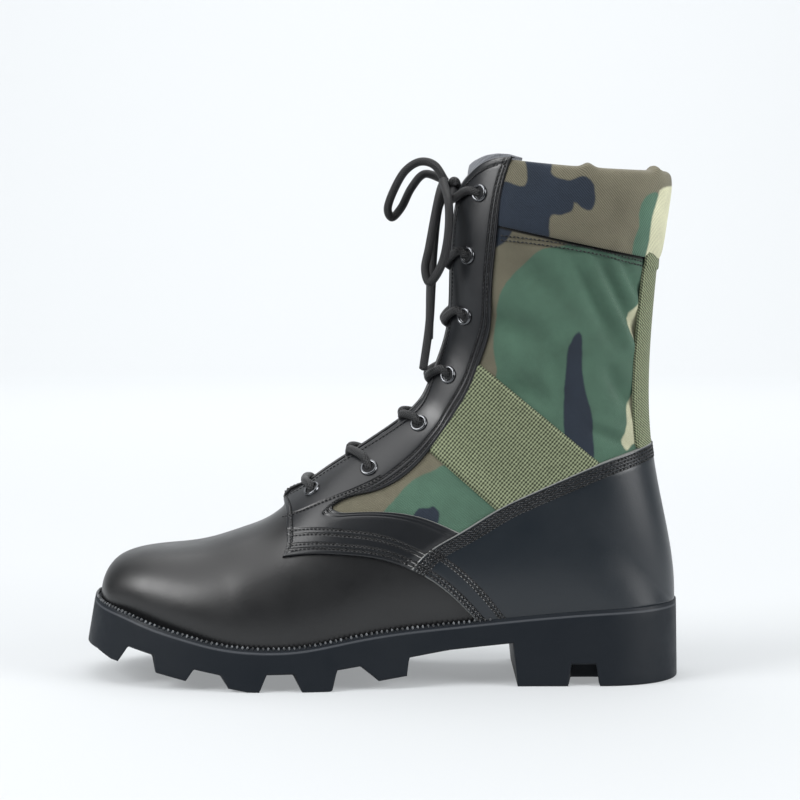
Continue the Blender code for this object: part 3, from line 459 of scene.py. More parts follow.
def add_piece(name, points, faces, materials, uv=None, values=None, face_material=None):
    """One mesh at the origin, from points in millimetres, with a UV map and values in millimetres."""
    mesh = bpy.data.meshes.new(name)
    faces = faces.tolist() if isinstance(faces, np.ndarray) else faces
    mesh.from_pydata(to_frame(points).tolist(), [], faces)
    if uv is not None:
        loops = np.empty(len(mesh.loops), np.int32)
        mesh.loops.foreach_get("vertex_index", loops)
        layer = mesh.uv_layers.new(name="pattern")
        layer.data.foreach_set("uv", np.asarray(uv, np.float32)[loops].ravel())
    for key, value in (values or {}).items():
        layer = mesh.attributes.new(key, "FLOAT", "POINT")
        layer.data.foreach_set("value", np.asarray(value, np.float32).ravel())
    if face_material is not None:
        mesh.polygons.foreach_set("material_index", np.asarray(face_material, np.int32))
    mesh.polygons.foreach_set("use_smooth", np.ones(len(mesh.polygons), bool))
    for material in materials:
        mesh.materials.append(material)
    welded = bmesh.new()
    welded.from_mesh(mesh)
    bmesh.ops.remove_doubles(welded, verts=welded.verts, dist=WELD)
    bmesh.ops.dissolve_degenerate(welded, edges=welded.edges, dist=NO_LENGTH)
    welded.to_mesh(mesh)
    welded.free()
    made = bpy.data.objects.new(name, mesh)
    bpy.context.scene.collection.objects.link(made)
    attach(made, "root")
    return made


def thicken(made, thickness, inner_material=0):
    """Closes a sheet into a wall that grows inwards from it."""
    solid = made.modifiers.new("wall", "SOLIDIFY")
    solid.thickness = thickness * MM
    solid.offset = -1.0
    solid.material_offset = inner_material
    solid.material_offset_rim = inner_material
    return made


def facing(points, outward):
    """True when a grid's faces, as grid_quads numbers them, look the outward way."""
    across = points[:-1, 1:] - points[:-1, :-1]
    along = points[1:, :-1] - points[:-1, :-1]
    return np.sum(np.cross(across, along) * outward[:-1, :-1]) > 0


def surface_piece(name, halves, materials, uv, values=None, wall=SHEET_WALL, inner_material=0,
                  face_material=None):
    """A sheet on the upper made of grids, each given as rows, angles, side and lift."""
    points, faces = [], []
    start = 0
    for rows, angles, side, lift in halves:
        sides = np.full(rows.shape, float(side))
        grid = lifted_point(rows, sides, angles, lift)
        quads = grid_quads(*rows.shape, start)
        if not facing(grid, upper_normal(rows, sides, angles)):
            quads = quads[:, ::-1]
        points.append(grid.reshape(-1, 3))
        faces.append(quads)
        start += rows.size
    points, faces = np.concatenate(points), np.concatenate(faces)
    made = add_piece(name, points, faces, materials, uv, values, face_material)
    return thicken(made, wall, inner_material)


def turning_frame(route):
    """Tangent and two carried-along side directions at each point of a route."""
    tangent = unit(np.gradient(route, axis=0))
    first = unit(np.cross(tangent[0], TUBE_START))
    side = np.empty_like(route)
    for i in range(len(route)):
        first = unit(first - np.dot(first, tangent[i]) * tangent[i])
        side[i] = first
    return tangent, side, np.cross(tangent, side)


def tube(route, radius, sides=14):
    """A round tube: circles of the radius around each point of the route, closed with rounded ends."""
    tangent, side, other = turning_frame(route)
    caps = np.array(TUBE_CAPS)
    heads = route[0] - tangent[0] * radius * 0.5 * (1 - caps)[:, None]
    tails = route[-1] + tangent[-1] * radius * 0.5 * (1 - caps)[::-1, None]
    shrink = np.concatenate([caps, np.ones(len(route)), caps[::-1]])
    route = np.concatenate([heads, route, tails])
    side, other = (np.pad(way, ((len(caps), len(caps)), (0, 0)), "edge") for way in (side, other))
    turn = np.linspace(0, 2 * math.pi, sides + 1)
    ring = np.cos(turn)[None, :, None] * side[:, None] + np.sin(turn)[None, :, None] * other[:, None]
    points = route[:, None] + ring * (radius * shrink)[:, None, None]
    quads = grid_quads(len(route), sides + 1).tolist()
    last = (len(route) - 1) * (sides + 1)
    quads += [list(range(sides))[::-1], list(range(last, last + sides))]
    length = run_length(route)
    uv = np.stack(np.broadcast_arrays(length[:, None], turn[None, :] * radius), axis=-1)
    return points.reshape(-1, 3), quads, uv.reshape(-1, 2)


# Colours of the boot's materials
LEATHER_BLACK = (0.0050, 0.0062, 0.0082)
VAMP_BLACK = (0.0052, 0.0055, 0.0062)
COUNTER_BLACK = (0.0036, 0.0078, 0.0128)
# near black of the thread's darker tone, and of the painted shade in the leather's stitch furrows
SEAM_BLACK = (0.0010, 0.0012, 0.0015)
LEATHER_EDGE = (0.200, 0.205, 0.200)
RUBBER_BLACK = (0.0042, 0.0072, 0.0115)
# paler rubber of the painted highlight along the sole's top lip
RUBBER_LIP_HIGHLIGHT = (0.045, 0.050, 0.058)
CAMO_GREEN = (0.062, 0.128, 0.088)
CAMO_BROWN = (0.132, 0.122, 0.084)
CAMO_NAVY = (0.012, 0.020, 0.034)
CAMO_TAN = (0.500, 0.500, 0.345)
WEBBING_LIGHT = (0.262, 0.298, 0.180)
WEBBING_DARK = (0.030, 0.037, 0.019)
LINING_BLACK = (0.020, 0.021, 0.023)
TONGUE_GREY = (0.190, 0.200, 0.220)
INSOLE_GREY = (0.030, 0.029, 0.028)
GUNMETAL = (0.130, 0.134, 0.142)
LACE_BLACK = (0.021, 0.022, 0.024)
THREAD_BLACK = (0.030, 0.031, 0.034)
WELT_GREY = (0.150, 0.158, 0.168)
WELT_BLACK = (0.012, 0.013, 0.015)
FLOOR_WHITE = (0.395, 0.408, 0.418)
FLOOR_GLOW = 0.30       # light that comes through the table from below
RIB_PITCH = 1.45        # webbing ribs
TWILL_PITCH = 1.35      # diagonal lines of the cuff's cloth
BRAID_PITCH = 2.6       # one turn of the lace's braid
BRAID_SLOPE = 0.77
BRAID_DARK = 0.08       # tone left in the dips of the braid
PRINT_RAGGED = 1.4      # how far the print's borders wander
PRINT_EDGE = (-0.6, 0.6)
CUFF_SHADE = (0.6, 1.7)     # distances from the cuff over which its shade ends
CUT_EDGE = (0.30, 1.0)      # distances from a cut edge over which its paler tone ends
SEAM_EDGE = (0.15, 0.85)

# Bumps: strength and height in millimetres
BUMPS = {"leather": (0.7, 0.45), "rubber": (0.12, 0.10), "twill": (0.55, 0.22), "webbing": (0.7, 0.35),
         "cloth": (0.5, 0.25), "braid": (0.8, 0.40), "thread": (0.3, 0.1)}

# Noise: patches in a metre
FINE = {"rubber": 900.0, "cloth": 1400.0, "twill": 500.0, "print": 160.0, "wander": 160.0, "fuzz": 700.0,
        "tone": 420.0, "thread": 2500.0}

# Uneven gloss: least and most roughness, and patches in a metre
GLOSS = {"rubber": (0.45, 0.65, 60.0), "metal": (0.18, 0.30, 300.0)}
LEATHER_PATCHES = 40.0
CLOTH_PATCHES = 55.0

# Stitch lines, as distances from the edges of their panels
SEAM_ROWS = (2.3, 4.8)
EYESTAY_SEAM_ROW = 4.0
BAND_SEAMS = (2.6, 4.9, 9.2, 11.6)
COUNTER_TOP_SEAMS = (2.0, 3.7, 5.4, 7.1)
COUNTER_FRONT_SEAMS = (2.2, 4.2, 12.0, 14.0)


def rgba(colour):
    """A colour with full alpha."""
    return (*colour, 1.0)


def put(tree, kind, inputs=None, **settings):
    """Adds a node, sets its settings, and sets or links its inputs."""
    made = tree.nodes.new(kind)
    for key, value in settings.items():
        setattr(made, key, value)
    for key, value in (inputs or {}).items():
        if isinstance(value, bpy.types.NodeSocket):
            tree.links.new(value, made.inputs[key])
        else:
            made.inputs[key].default_value = value
    return made


def calc(tree, operation, first, second=0.0):
    """The result of one math node."""
    return put(tree, "ShaderNodeMath", {0: first, 1: second}, operation=operation).outputs[0]


def blend(tree, factor, first, second):
    """A mix of two colours by a factor."""
    made = put(tree, "ShaderNodeMix", {0: factor, 6: first, 7: second}, data_type="RGBA")
    return made.outputs[2]


def ramp_between(tree, value, low, high):
    """0 below low, 1 above high, eased between."""
    settings = {0: value, 1: low, 2: high}
    return put(tree, "ShaderNodeMapRange", settings, interpolation_type="SMOOTHSTEP").outputs[0]


def named_value(tree, name):
    """A value that the piece's points carry."""
    return put(tree, "ShaderNodeAttribute", attribute_name=name).outputs["Fac"]


def pattern_axes(tree):
    """The two coordinates of a piece's own UV map, in millimetres."""
    made = put(tree, "ShaderNodeUVMap", uv_map="pattern")
    parts = put(tree, "ShaderNodeSeparateXYZ", {0: made.outputs[0]})
    return parts.outputs[0], parts.outputs[1]


def place(tree):
    """Object coordinates, in metres."""
    return put(tree, "ShaderNodeTexCoord").outputs["Object"]


def noise(tree, where, scale, detail=3.0, roughness=0.55):
    """Fractal noise with about that many patches in a metre."""
    inputs = {"Vector": where, "Scale": scale, "Detail": detail, "Roughness": roughness}
    return put(tree, "ShaderNodeTexNoise", inputs).outputs[0]


def wave(tree, value, pitch):
    """A sine from 0 to 1 with the given pitch."""
    turned = calc(tree, "SINE", calc(tree, "MULTIPLY", value, 2 * math.pi / pitch))
    return calc(tree, "ADD", calc(tree, "MULTIPLY", turned, 0.5), 0.5)


def shaded(tree, colour, shade):
    """A colour multiplied by a shade."""
    inputs = {0: 1.0, 6: colour, 7: shade}
    return put(tree, "ShaderNodeMix", inputs, data_type="RGBA", blend_type="MULTIPLY").outputs[2]


def new_group(name, inputs, output):
    """An empty shader node group of values: its tree, its inputs and the socket for its result."""
    tree = bpy.data.node_groups.new(name, "ShaderNodeTree")
    for socket in inputs:
        tree.interface.new_socket(socket, in_out="INPUT", socket_type="NodeSocketFloat")
    tree.interface.new_socket(output, in_out="OUTPUT", socket_type="NodeSocketFloat")
    return tree, put(tree, "NodeGroupInput").outputs, put(tree, "NodeGroupOutput").inputs[0]


def make_grain_group():
    """Fine creased leather grain: rounded cells broken up by noise."""
    tree, given, result = new_group("leather_grain", ["Scale"], "Height")
    where = place(tree)
    inputs = {"Vector": where, "Scale": given[0]}
    cells = put(tree, "ShaderNodeTexVoronoi", inputs, feature="SMOOTH_F1").outputs[0]
    broken = noise(tree, where, calc(tree, "MULTIPLY", given[0], 0.6))
    tree.links.new(calc(tree, "ADD", cells, broken), result)
    return tree


def make_cloth_group():
    """Threads over and under: two crossed waves, broken up by noise."""
    tree, given, result = new_group("cloth_weave", ["Along", "Across", "Pitch"], "Height")
    turns = [calc(tree, "MULTIPLY", calc(tree, "DIVIDE", given[k], given[2]), 2 * math.pi) for k in (0, 1)]
    crossed = calc(tree, "MULTIPLY", calc(tree, "SINE", turns[0]), calc(tree, "SINE", turns[1]))
    fuzz = noise(tree, place(tree), FINE["cloth"])
    tree.links.new(calc(tree, "ADD", calc(tree, "MULTIPLY", crossed, 0.5), fuzz), result)
    return tree


def make_mottle_group():
    """Slow uneven patches, for gloss and colour that are never quite even."""
    tree, given, result = new_group("mottle", ["Scale"], "Value")
    tree.links.new(noise(tree, place(tree), given[0], 4.0, 0.6), result)
    return tree


GRAIN = make_grain_group()
CLOTH = make_cloth_group()
MOTTLE = make_mottle_group()


def group_value(tree, group, **inputs):
    """The result of a node group, placed with its own inputs."""
    return put(tree, "ShaderNodeGroup", inputs, node_tree=group).outputs[0]


def new_material(name, colour, roughness, metallic=0.0, coat=0.0, sheen=0.0, specular=0.4):
    """A material with plain values: itself, its node tree and its Principled shader."""
    made = bpy.data.materials.new(name)
    made.use_nodes = True
    shader = made.node_tree.nodes["Principled BSDF"]
    settings = {"Base Color": rgba(colour), "Roughness": roughness, "Metallic": metallic, "Coat Weight": coat,
                "Coat Roughness": 0.30, "Sheen Weight": sheen, "Specular IOR Level": specular}
    for socket, value in settings.items():
        shader.inputs[socket].default_value = value
    return made, made.node_tree, shader


def add_bump(tree, shader, height, strength, distance):
    """Tilts the normal by the slope of a height, whose full step is the distance in millimetres."""
    made = put(tree, "ShaderNodeBump", {"Strength": strength, "Distance": distance * MM, "Height": height})
    tree.links.new(made.outputs[0], shader.inputs["Normal"])


def vary_roughness(tree, shader, low, high, scale):
    """Roughness that goes from low to high over slow patches."""
    value = group_value(tree, MOTTLE, Scale=scale)
    made = put(tree, "ShaderNodeMapRange", {0: value, 1: 0.3, 2: 0.7, 3: low, 4: high}).outputs[0]
    tree.links.new(made, shader.inputs["Roughness"])


def seam_free(tree, seams):
    """1 on plain leather, down to 0 along stitch lines at distances from named edges, where shade is painted
    into the furrows.
    """
    free = 1.0
    for name, distances in seams:
        value = named_value(tree, name)
        for distance in distances:
            off = calc(tree, "ABSOLUTE", calc(tree, "SUBTRACT", value, distance))
            free = calc(tree, "MULTIPLY", free, ramp_between(tree, off, *SEAM_EDGE))
    return free


def leather(name, colour, low, high, coat, grain, seams=()):
    """Black leather with fine grain, a paler cut edge, and painted shade in the furrows along its stitch
    lines.
    """
    made, tree, shader = new_material(name, colour, low, coat=coat, specular=0.58)
    vary_roughness(tree, shader, low, high, LEATHER_PATCHES)
    pale = calc(tree, "SUBTRACT", 1.0, ramp_between(tree, named_value(tree, "edge_distance"), *CUT_EDGE))
    colour = blend(tree, pale, rgba(colour), rgba(LEATHER_EDGE))
    height = calc(tree, "MULTIPLY", group_value(tree, GRAIN, Scale=grain), 0.06)
    if seams:
        free = seam_free(tree, seams)
        # painted shade: the colour goes to near black along the stitch furrows
        colour = blend(tree, free, rgba(SEAM_BLACK), colour)
        height = calc(tree, "ADD", height, free)
    tree.links.new(colour, shader.inputs["Base Color"])
    add_bump(tree, shader, height, *BUMPS["leather"])
    return made


def rubber():
    """Moulded rubber, with a painted highlight along the lip of its top edge."""
    made, tree, shader = new_material("sole_rubber", RUBBER_BLACK, 0.6, specular=0.26)
    vary_roughness(tree, shader, *GLOSS["rubber"])
    colour = blend(tree, named_value(tree, "rim"), rgba(RUBBER_BLACK), rgba(RUBBER_LIP_HIGHLIGHT))
    tree.links.new(colour, shader.inputs["Base Color"])
    add_bump(tree, shader, noise(tree, place(tree), FINE["rubber"]), *BUMPS["rubber"])
    return made


def camouflage(name, pitch, strength, level, tucked):
    """Twill printed in green with brown, navy and tan shapes.

    A shape is where the distance to its border, plus noise, is negative. The twill is a sine of along plus
    across, which also shades the print. The level is painted light: it sets the shaft's canvas darker and the
    cuff's lighter. Below the cuff the canvas takes a painted shadow.
    """
    made, tree, shader = new_material(name, CAMO_GREEN, 0.88, sheen=0.12)
    where = place(tree)
    ragged = calc(tree, "SUBTRACT", noise(tree, where, FINE["print"]), 0.5)
    ragged = calc(tree, "MULTIPLY", ragged, PRINT_RAGGED)
    colour = rgba(CAMO_GREEN)
    for shape, paint in (("camo_brown", CAMO_BROWN), ("camo_navy", CAMO_NAVY), ("camo_tan", CAMO_TAN)):
        border = calc(tree, "ADD", named_value(tree, shape), ragged)
        inside = calc(tree, "SUBTRACT", 1.0, ramp_between(tree, border, *PRINT_EDGE))
        colour = blend(tree, inside, colour, rgba(paint))
    along, across = pattern_axes(tree)
    broken = calc(tree, "MULTIPLY", noise(tree, where, FINE["twill"]), 0.6)
    lines = wave(tree, calc(tree, "ADD", calc(tree, "ADD", along, across), broken), pitch)
    # random mottle of tone, plus the level: painted light and painted shade that set the whole cloth lighter
    # or darker
    tone_and_light_level = calc(tree, "MULTIPLY", group_value(tree, MOTTLE, Scale=CLOTH_PATCHES), 0.7)
    tone_and_light_level = calc(tree, "ADD", tone_and_light_level, level - strength / 2)
    shade = calc(tree, "ADD", calc(tree, "MULTIPLY", lines, strength), tone_and_light_level)
    if tucked:
        # painted shadow on the canvas just below the cuff's lower edge
        clear_of_cuff_shadow = ramp_between(tree, named_value(tree, "below_cuff"), *CUFF_SHADE)
        shade = calc(tree, "MULTIPLY", shade, clear_of_cuff_shadow)
    tree.links.new(shaded(tree, colour, shade), shader.inputs["Base Color"])
    add_bump(tree, shader, lines, *BUMPS["twill"])
    return made


def webbing():
    """Olive tape: a grid of ribs across it and threads along it."""
    made, tree, shader = new_material("olive_webbing", WEBBING_LIGHT, 0.85, sheen=0.02)
    along, across = pattern_axes(tree)
    wander = calc(tree, "MULTIPLY", noise(tree, place(tree), FINE["wander"]), 0.5)
    ribs = wave(tree, calc(tree, "ADD", along, wander), RIB_PITCH)
    threads = wave(tree, calc(tree, "ADD", across, wander), RIB_PITCH * 1.1)
    height = calc(tree, "ADD", calc(tree, "MULTIPLY", ribs, 0.6), calc(tree, "MULTIPLY", threads, 0.4))
    fuzz = calc(tree, "ADD", noise(tree, place(tree), FINE["fuzz"]), 0.5)
    shade = ramp_between(tree, calc(tree, "MULTIPLY", height, fuzz), 0.18, 0.82)
    tree.links.new(blend(tree, shade, rgba(WEBBING_DARK), rgba(WEBBING_LIGHT)), shader.inputs["Base Color"])
    add_bump(tree, shader, height, *BUMPS["webbing"])
    return made


def plain_cloth(name, colour, pitch):
    """Plain weave of one colour."""
    made, tree, shader = new_material(name, colour, 0.85, sheen=0.1)
    along, across = pattern_axes(tree)
    lines = group_value(tree, CLOTH, Along=along, Across=across, Pitch=pitch)
    shade = calc(tree, "ADD", calc(tree, "MULTIPLY", lines, 0.6), 0.6)
    tree.links.new(shaded(tree, rgba(colour), shade), shader.inputs["Base Color"])
    add_bump(tree, shader, lines, *BUMPS["cloth"])
    return made


def braid():
    """Round lace: two sets of strands winding opposite ways."""
    made, tree, shader = new_material("lace_cord", LACE_BLACK, 0.42, sheen=0.02)
    along, across = pattern_axes(tree)
    girth = calc(tree, "MULTIPLY", across, BRAID_SLOPE)
    first = wave(tree, calc(tree, "ADD", along, girth), BRAID_PITCH / 2)
    second = wave(tree, calc(tree, "SUBTRACT", along, girth), BRAID_PITCH / 2)
    height = calc(tree, "MAXIMUM", first, second)
    shade = calc(tree, "ADD", calc(tree, "POWER", height, 3.0), BRAID_DARK)
    tree.links.new(shaded(tree, rgba(LACE_BLACK), shade), shader.inputs["Base Color"])
    add_bump(tree, shader, height, *BUMPS["braid"])
    return made


def metal():
    """Dark plated metal."""
    made, tree, shader = new_material("gunmetal", GUNMETAL, 0.25, metallic=1.0)
    vary_roughness(tree, shader, *GLOSS["metal"])
    return made


def thread(name, dark, light):
    """Sewing thread whose tone changes a little from stitch to stitch."""
    made, tree, shader = new_material(name, light, 0.45)
    tone = ramp_between(tree, noise(tree, place(tree), FINE["tone"]), 0.35, 0.65)
    tree.links.new(blend(tree, tone, rgba(dark), rgba(light)), shader.inputs["Base Color"])
    add_bump(tree, shader, noise(tree, place(tree), FINE["thread"]), *BUMPS["thread"])
    return made


QUARTER_SEAMS = (("rear_line", SEAM_ROWS), ("front_line", (EYESTAY_SEAM_ROW,)), ("band_line", BAND_SEAMS),
                 ("eyestay_line", (0.0,)))
COUNTER_SEAMS = (("top_line", COUNTER_TOP_SEAMS), ("front_line", COUNTER_FRONT_SEAMS))
LOOKS = {
    "vamp": leather("vamp_leather", VAMP_BLACK, 0.34, 0.46, 0.08, 800.0),
    "quarter": leather("quarter_leather", LEATHER_BLACK, 0.30, 0.40, 0.10, 1100.0, QUARTER_SEAMS),
    "counter": leather("counter_leather", COUNTER_BLACK, 0.32, 0.42, 0.10, 1100.0, COUNTER_SEAMS),
    "rubber": rubber(),
    # the same printed cloth: the shaft's lower level is painted shade, the cuff's higher level painted light
    "canvas": camouflage("camouflage_canvas", 1.1, 0.70, 0.65, True),
    "cuff": camouflage("cuff_canvas", TWILL_PITCH, 0.75, 0.76, False),
    "webbing": webbing(),
    "lining": plain_cloth("lining_cloth", LINING_BLACK, 1.2),
    "tongue": plain_cloth("tongue_cloth", TONGUE_GREY, 2.0),
    "insole": plain_cloth("insole_board", INSOLE_GREY, 1.5),
    "metal": metal(),
    "lace": braid(),
    "thread": thread("black_thread", SEAM_BLACK, THREAD_BLACK),
    "welt": thread("welt_thread", WELT_BLACK, WELT_GREY),
}


CAMERA_PLACE = (0.0093, -1.2, 0.2287)
CAMERA_DIP = 4.16       # degrees below level
CAMERA_LENS = 105.4
CORD_PIECES = 12        # tube rings in each span of a route
CROSSING_PIECES = 8
CROSSING_AROUND = 12

# Lift of the lace, and its share of the way from the hole to the throat's edge
HOLE = {"lift": -1.5}
RISING = {"lift": 1.4, "forward": 0.05}
RISEN = {"lift": 3.6, "forward": 0.35}
LAST_RISEN = {"lift": 3.7, "forward": 0.4}
UNDER = {"lift": -5.2, "forward": 0.3}

EDGE_LIFT = 3.6                                     # lift of the lace over the throat's edge
LACE_TUCK = {"further": 0.12, "lift": -0.6, "inward": 3.0}      # where a crossing goes under its edge
FAR = {"step": 0.78, "lift": -2.6}                  # where it passes under the other edge
LOWEST_STEP = -0.35                                 # rows that the lowest crossing goes down
STEEP_FROM = 3                                      # crossings from this one up go down more steeply
STEEP, GENTLE = 0.28, 0.16
KNOT_EDGE = {"rows": -0.35, "lift": 4.4}
KNOT_TURNS = {"wide": 1.4, "tall": 2.6, "deep": 5.0, "back": 0.5, "points": 60}


def make_camera():
    """The camera, level with the boot's shaft and tipped a little down."""
    data = bpy.data.cameras.new("camera")
    data.lens = CAMERA_LENS
    made = bpy.data.objects.new("camera", data)
    made.location = CAMERA_PLACE
    made.rotation_euler = (math.radians(90 - CAMERA_DIP), 0.0, 0.0)
    bpy.context.scene.collection.objects.link(made)
    bpy.context.scene.camera = made


def make_free_cord(node, points):
    """One free run of the lace: a circle carried along its own route, which starts at the knot."""
    grid, faces, uv = tube(smooth_route(points, CORD_PIECES), LACE_DIAMETER / 2)
    made = add_piece(f"{node}_cord", grid, faces, [LOOKS["lace"]], uv)
    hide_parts(node)


def make_knot():
    """Two close turns of the lace: a flattened helix about the knot's middle."""
    turn = np.linspace(0, 4 * math.pi, KNOT_TURNS["points"])
    route = np.stack([KNOT_CENTRE[0] + KNOT_TURNS["wide"] * np.cos(turn) - KNOT_TURNS["back"],
                      KNOT_CENTRE[1] + (turn / (4 * math.pi) - 0.5) * KNOT_TURNS["deep"],
                      KNOT_CENTRE[2] + KNOT_TURNS["tall"] * np.sin(turn)], axis=-1)
    grid, faces, uv = tube(route, LACE_DIAMETER / 2)
    made = add_piece("lace_knot_turns", grid, faces, [LOOKS["lace"]], uv)
    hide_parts("lace_knot")


def eyelet_spot(number, side, lift, forward=0.0):
    """A point over an eyelet's middle, or moved forward over the surface towards the throat."""
    row, angle = locate(*EYELET_PLACES[number])
    edge = throat_angle(row)
    return lifted_point(row, side, angle + (edge - angle) * forward, lift)


def throat_spot(row, side, lift):
    """A point over the throat's edge at a row."""
    return lifted_point(row, side, throat_angle(row), lift)


def eyelet_row(number):
    """Row of the section through an eyelet."""
    return float(locate(*EYELET_PLACES[number])[0])


def out_of_hole(number, side, last):
    """The lace as it comes up through a hole and leans towards the throat."""
    return [eyelet_spot(number, side, **spot) for spot in (HOLE, RISING, last)]


def lace_crossing(number, side):
    """From a hole around its throat edge, across the tongue and under the other edge to the hole below."""
    row = eyelet_row(number)
    step = eyelet_row(number - 1) - row if number else LOWEST_STEP
    slope = STEEP if number >= STEEP_FROM else GENTLE
    points = out_of_hole(number, side, RISEN) + [throat_spot(row + step * slope, side, EDGE_LIFT)]
    if not number:
        far = throat_spot(row + step * slope, -side, EDGE_LIFT)
        return points + [far] + out_of_hole(0, -side, RISEN)[::-1]
    tucked = throat_spot(row + step * (slope + LACE_TUCK["further"]), side, LACE_TUCK["lift"])
    tucked = tucked - np.array([0.0, side * LACE_TUCK["inward"], 0.0])
    far = throat_spot(row + step * FAR["step"], -side, FAR["lift"])
    dip = np.array([1.2 + 1.1 * side, 0.0, -0.6])       # keeps the two laces of a crossing apart
    return points + [tucked, (tucked + far) / 2 + dip, far, eyelet_spot(number - 1, -side, **UNDER)]


def lace_to_knot(side):
    """From the top hole over the throat edge into the knot."""
    top = len(EYELET_PLACES) - 1
    edge = throat_spot(eyelet_row(top) + KNOT_EDGE["rows"], side, KNOT_EDGE["lift"])
    knot = np.array(KNOT_CENTRE) + np.array([-1.0, side * 2.0, -2.0])
    return out_of_hole(top, side, LAST_RISEN) + [edge, knot]


def make_crossings():
    """The lace between its holes, as one joined mesh of tubes."""
    routes = [lace_crossing(0, -1.0)]
    for number in range(1, len(EYELET_PLACES) - 1):
        routes += [lace_crossing(number, side) for side in SIDES]
    routes += [lace_to_knot(side) for side in SIDES]
    points, faces, uv = [], [], []
    start = 0
    for route in routes:
        grid, quads, places = tube(smooth_route(route, CROSSING_PIECES), LACE_DIAMETER / 2, CROSSING_AROUND)
        points.append(grid)
        uv.append(places)
        faces += [[corner + start for corner in quad] for quad in quads]
        start += len(grid)
    points, uv = np.concatenate(points), np.concatenate(uv)
    made = add_piece("lace_through_eyelets", points, faces, [LOOKS["lace"]], uv)
    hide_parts("lace_crossings")


make_camera()
make_free_cord("lace_loop_outer", LOOP_OUTER_ROUTE)
make_free_cord("lace_loop_inner", LOOP_INNER_ROUTE)
make_free_cord("lace_end_outer", END_OUTER_ROUTE)
make_free_cord("lace_end_inner", END_INNER_ROUTE)
make_knot()
make_crossings()


# Rows down the sole's wall: drop below its top edge and set-back
RIM_PROFILE = ((0.0, 2.2), (0.1, 1.2), (0.4, 0.85), (1.5, 0.8), (1.9, 0.45), (2.3, 0.12), (2.9, 0.0))
FOOT_PROFILE = ((1.3, 0.0), (0.7, 0.12), (0.25, 0.5), (0.0, 1.2))   # rise above the lug's tip and set-back
LIP_HIGHLIGHT_ROWS = [4, 5]                # the rows of its profile that are painted paler, as a painted highlight on the lip
WALL_SHARES = np.linspace(0.0, 1.0, 9)[1:-1]
SOLE_STATIONS = 120
SOLE_ACROSS = 84
SOLE_TOP_ACROSS = 6
SOLE_NARROW = 6.0               # half-width below which the set-backs shrink, at the very tips
STATION_GAP = 0.0006            # least share between an even station and a close one
NO_CUT = -6.0                   # height that stands for no cut
CHANNEL_ALONG = ((-122.8, -121.2), (19.0, 20.5))    # where the channels' depth rises and falls
CHANNEL_WALL = (2.2, 3.4)
NOTCH_WALL = (14.5, 16.0)
NOTCH_REACH = (90.0, 75.0)      # where the notches' skew is nothing, and the reach over which it grows
WELL_ENDS = 1.5
WELL_SIDES = 0.8

# Stations that lie closer: from, to and step
CLOSE_STATIONS = ((-138.0, 1.0, 0.55), (10.0, 16.0, 0.4), (64.0, 71.0, 0.4), (86.0, 120.0, 0.7))
WELT = {"pitch": 2.6, "long": 0.60, "tall": 1.0, "deep": 0.95, "drop": -0.15, "inward": 1.15, "end_x": 56.0,
        "start": 0.0003, "samples": 1200, "around": 8, "rings": 5, "cap": 1.35}


def trapezium(x, outline):
    """Height at x of a cut: straight lines through its outline of x and z, and no cut outside it."""
    return np.interp(x, *np.transpose(outline), left=NO_CUT, right=NO_CUT)


def groove_height(x, y, groove):
    """Height of a groove across the sole: its outline, slid along x in step with y, so grooves fan out."""
    slope = ((groove["web_start"] + groove["web_end"]) / 2 - GROOVE_FAN["x"]) / GROOVE_FAN["reach"]
    tip_z = [float(lug_line(groove[key])) for key in ("tip_start", "tip_end")]
    outline = ((groove["tip_start"], tip_z[0]), (groove["web_start"], groove["web_start_z"]),
               (groove["web_end"], groove["web_end_z"]), (groove["tip_end"], tip_z[1]))
    return trapezium(x - slope * (y - GROOVE_EDGE_Y), outline)


def tread_height(x, y):
    """Height of the underside: the highest of lug tips, grooves, channels, arch, heel notches and well."""
    tips = lug_line(x)
    height = np.array(tips)
    reach = np.abs(y)
    for row in GROOVE_ROWS:
        height = np.maximum(height, groove_height(x, y, dict(zip(GROOVE_COLUMNS, row))))
    off = np.abs(reach - CENTRE_LUG_HALF - CHANNEL_WIDTH / 2)
    channel = plateau(x, *CHANNEL_ALONG) * (1 - soft_step(off, *CHANNEL_WALL))
    height = np.maximum(height, tips + CHANNEL_DEPTH * channel)
    height = np.maximum(height, trapezium(x, ARCH_OUTLINE))
    slid = x - HEEL_NOTCH_SKEW * (NOTCH_REACH[0] - reach) / NOTCH_REACH[1]
    notch = np.maximum(trapezium(slid, HEEL_NOTCH_OUTLINE) - height, 0)
    height = height + soft_step(reach, *NOTCH_WALL) * notch
    start, end = HEEL_WELL["x"]
    well = plateau(x, (start, start + WELL_ENDS), (end - WELL_ENDS, end))
    well = well * (1 - soft_step(reach, HEEL_WELL["half"] - WELL_SIDES, HEEL_WELL["half"] + WELL_SIDES))
    return np.maximum(height, HEEL_WELL["depth"] * well)


def sole_shares():
    """Stations along the sole, closest together under the forefoot's grooves, the arch and the heel notch."""
    front = TOE_X - EDGE_BOTTOM["toe"]
    length = HEEL_X + EDGE_BOTTOM["heel"] - front
    even = stations(SOLE_STATIONS, 0.0001)
    close = np.concatenate([np.arange(*stretch) for stretch in CLOSE_STATIONS])
    close = (close - front) / length
    apart = np.min(np.abs(close[:, None] - even[None, :]), axis=1)
    return np.sort(np.concatenate([even, close[apart > STATION_GAP]]))


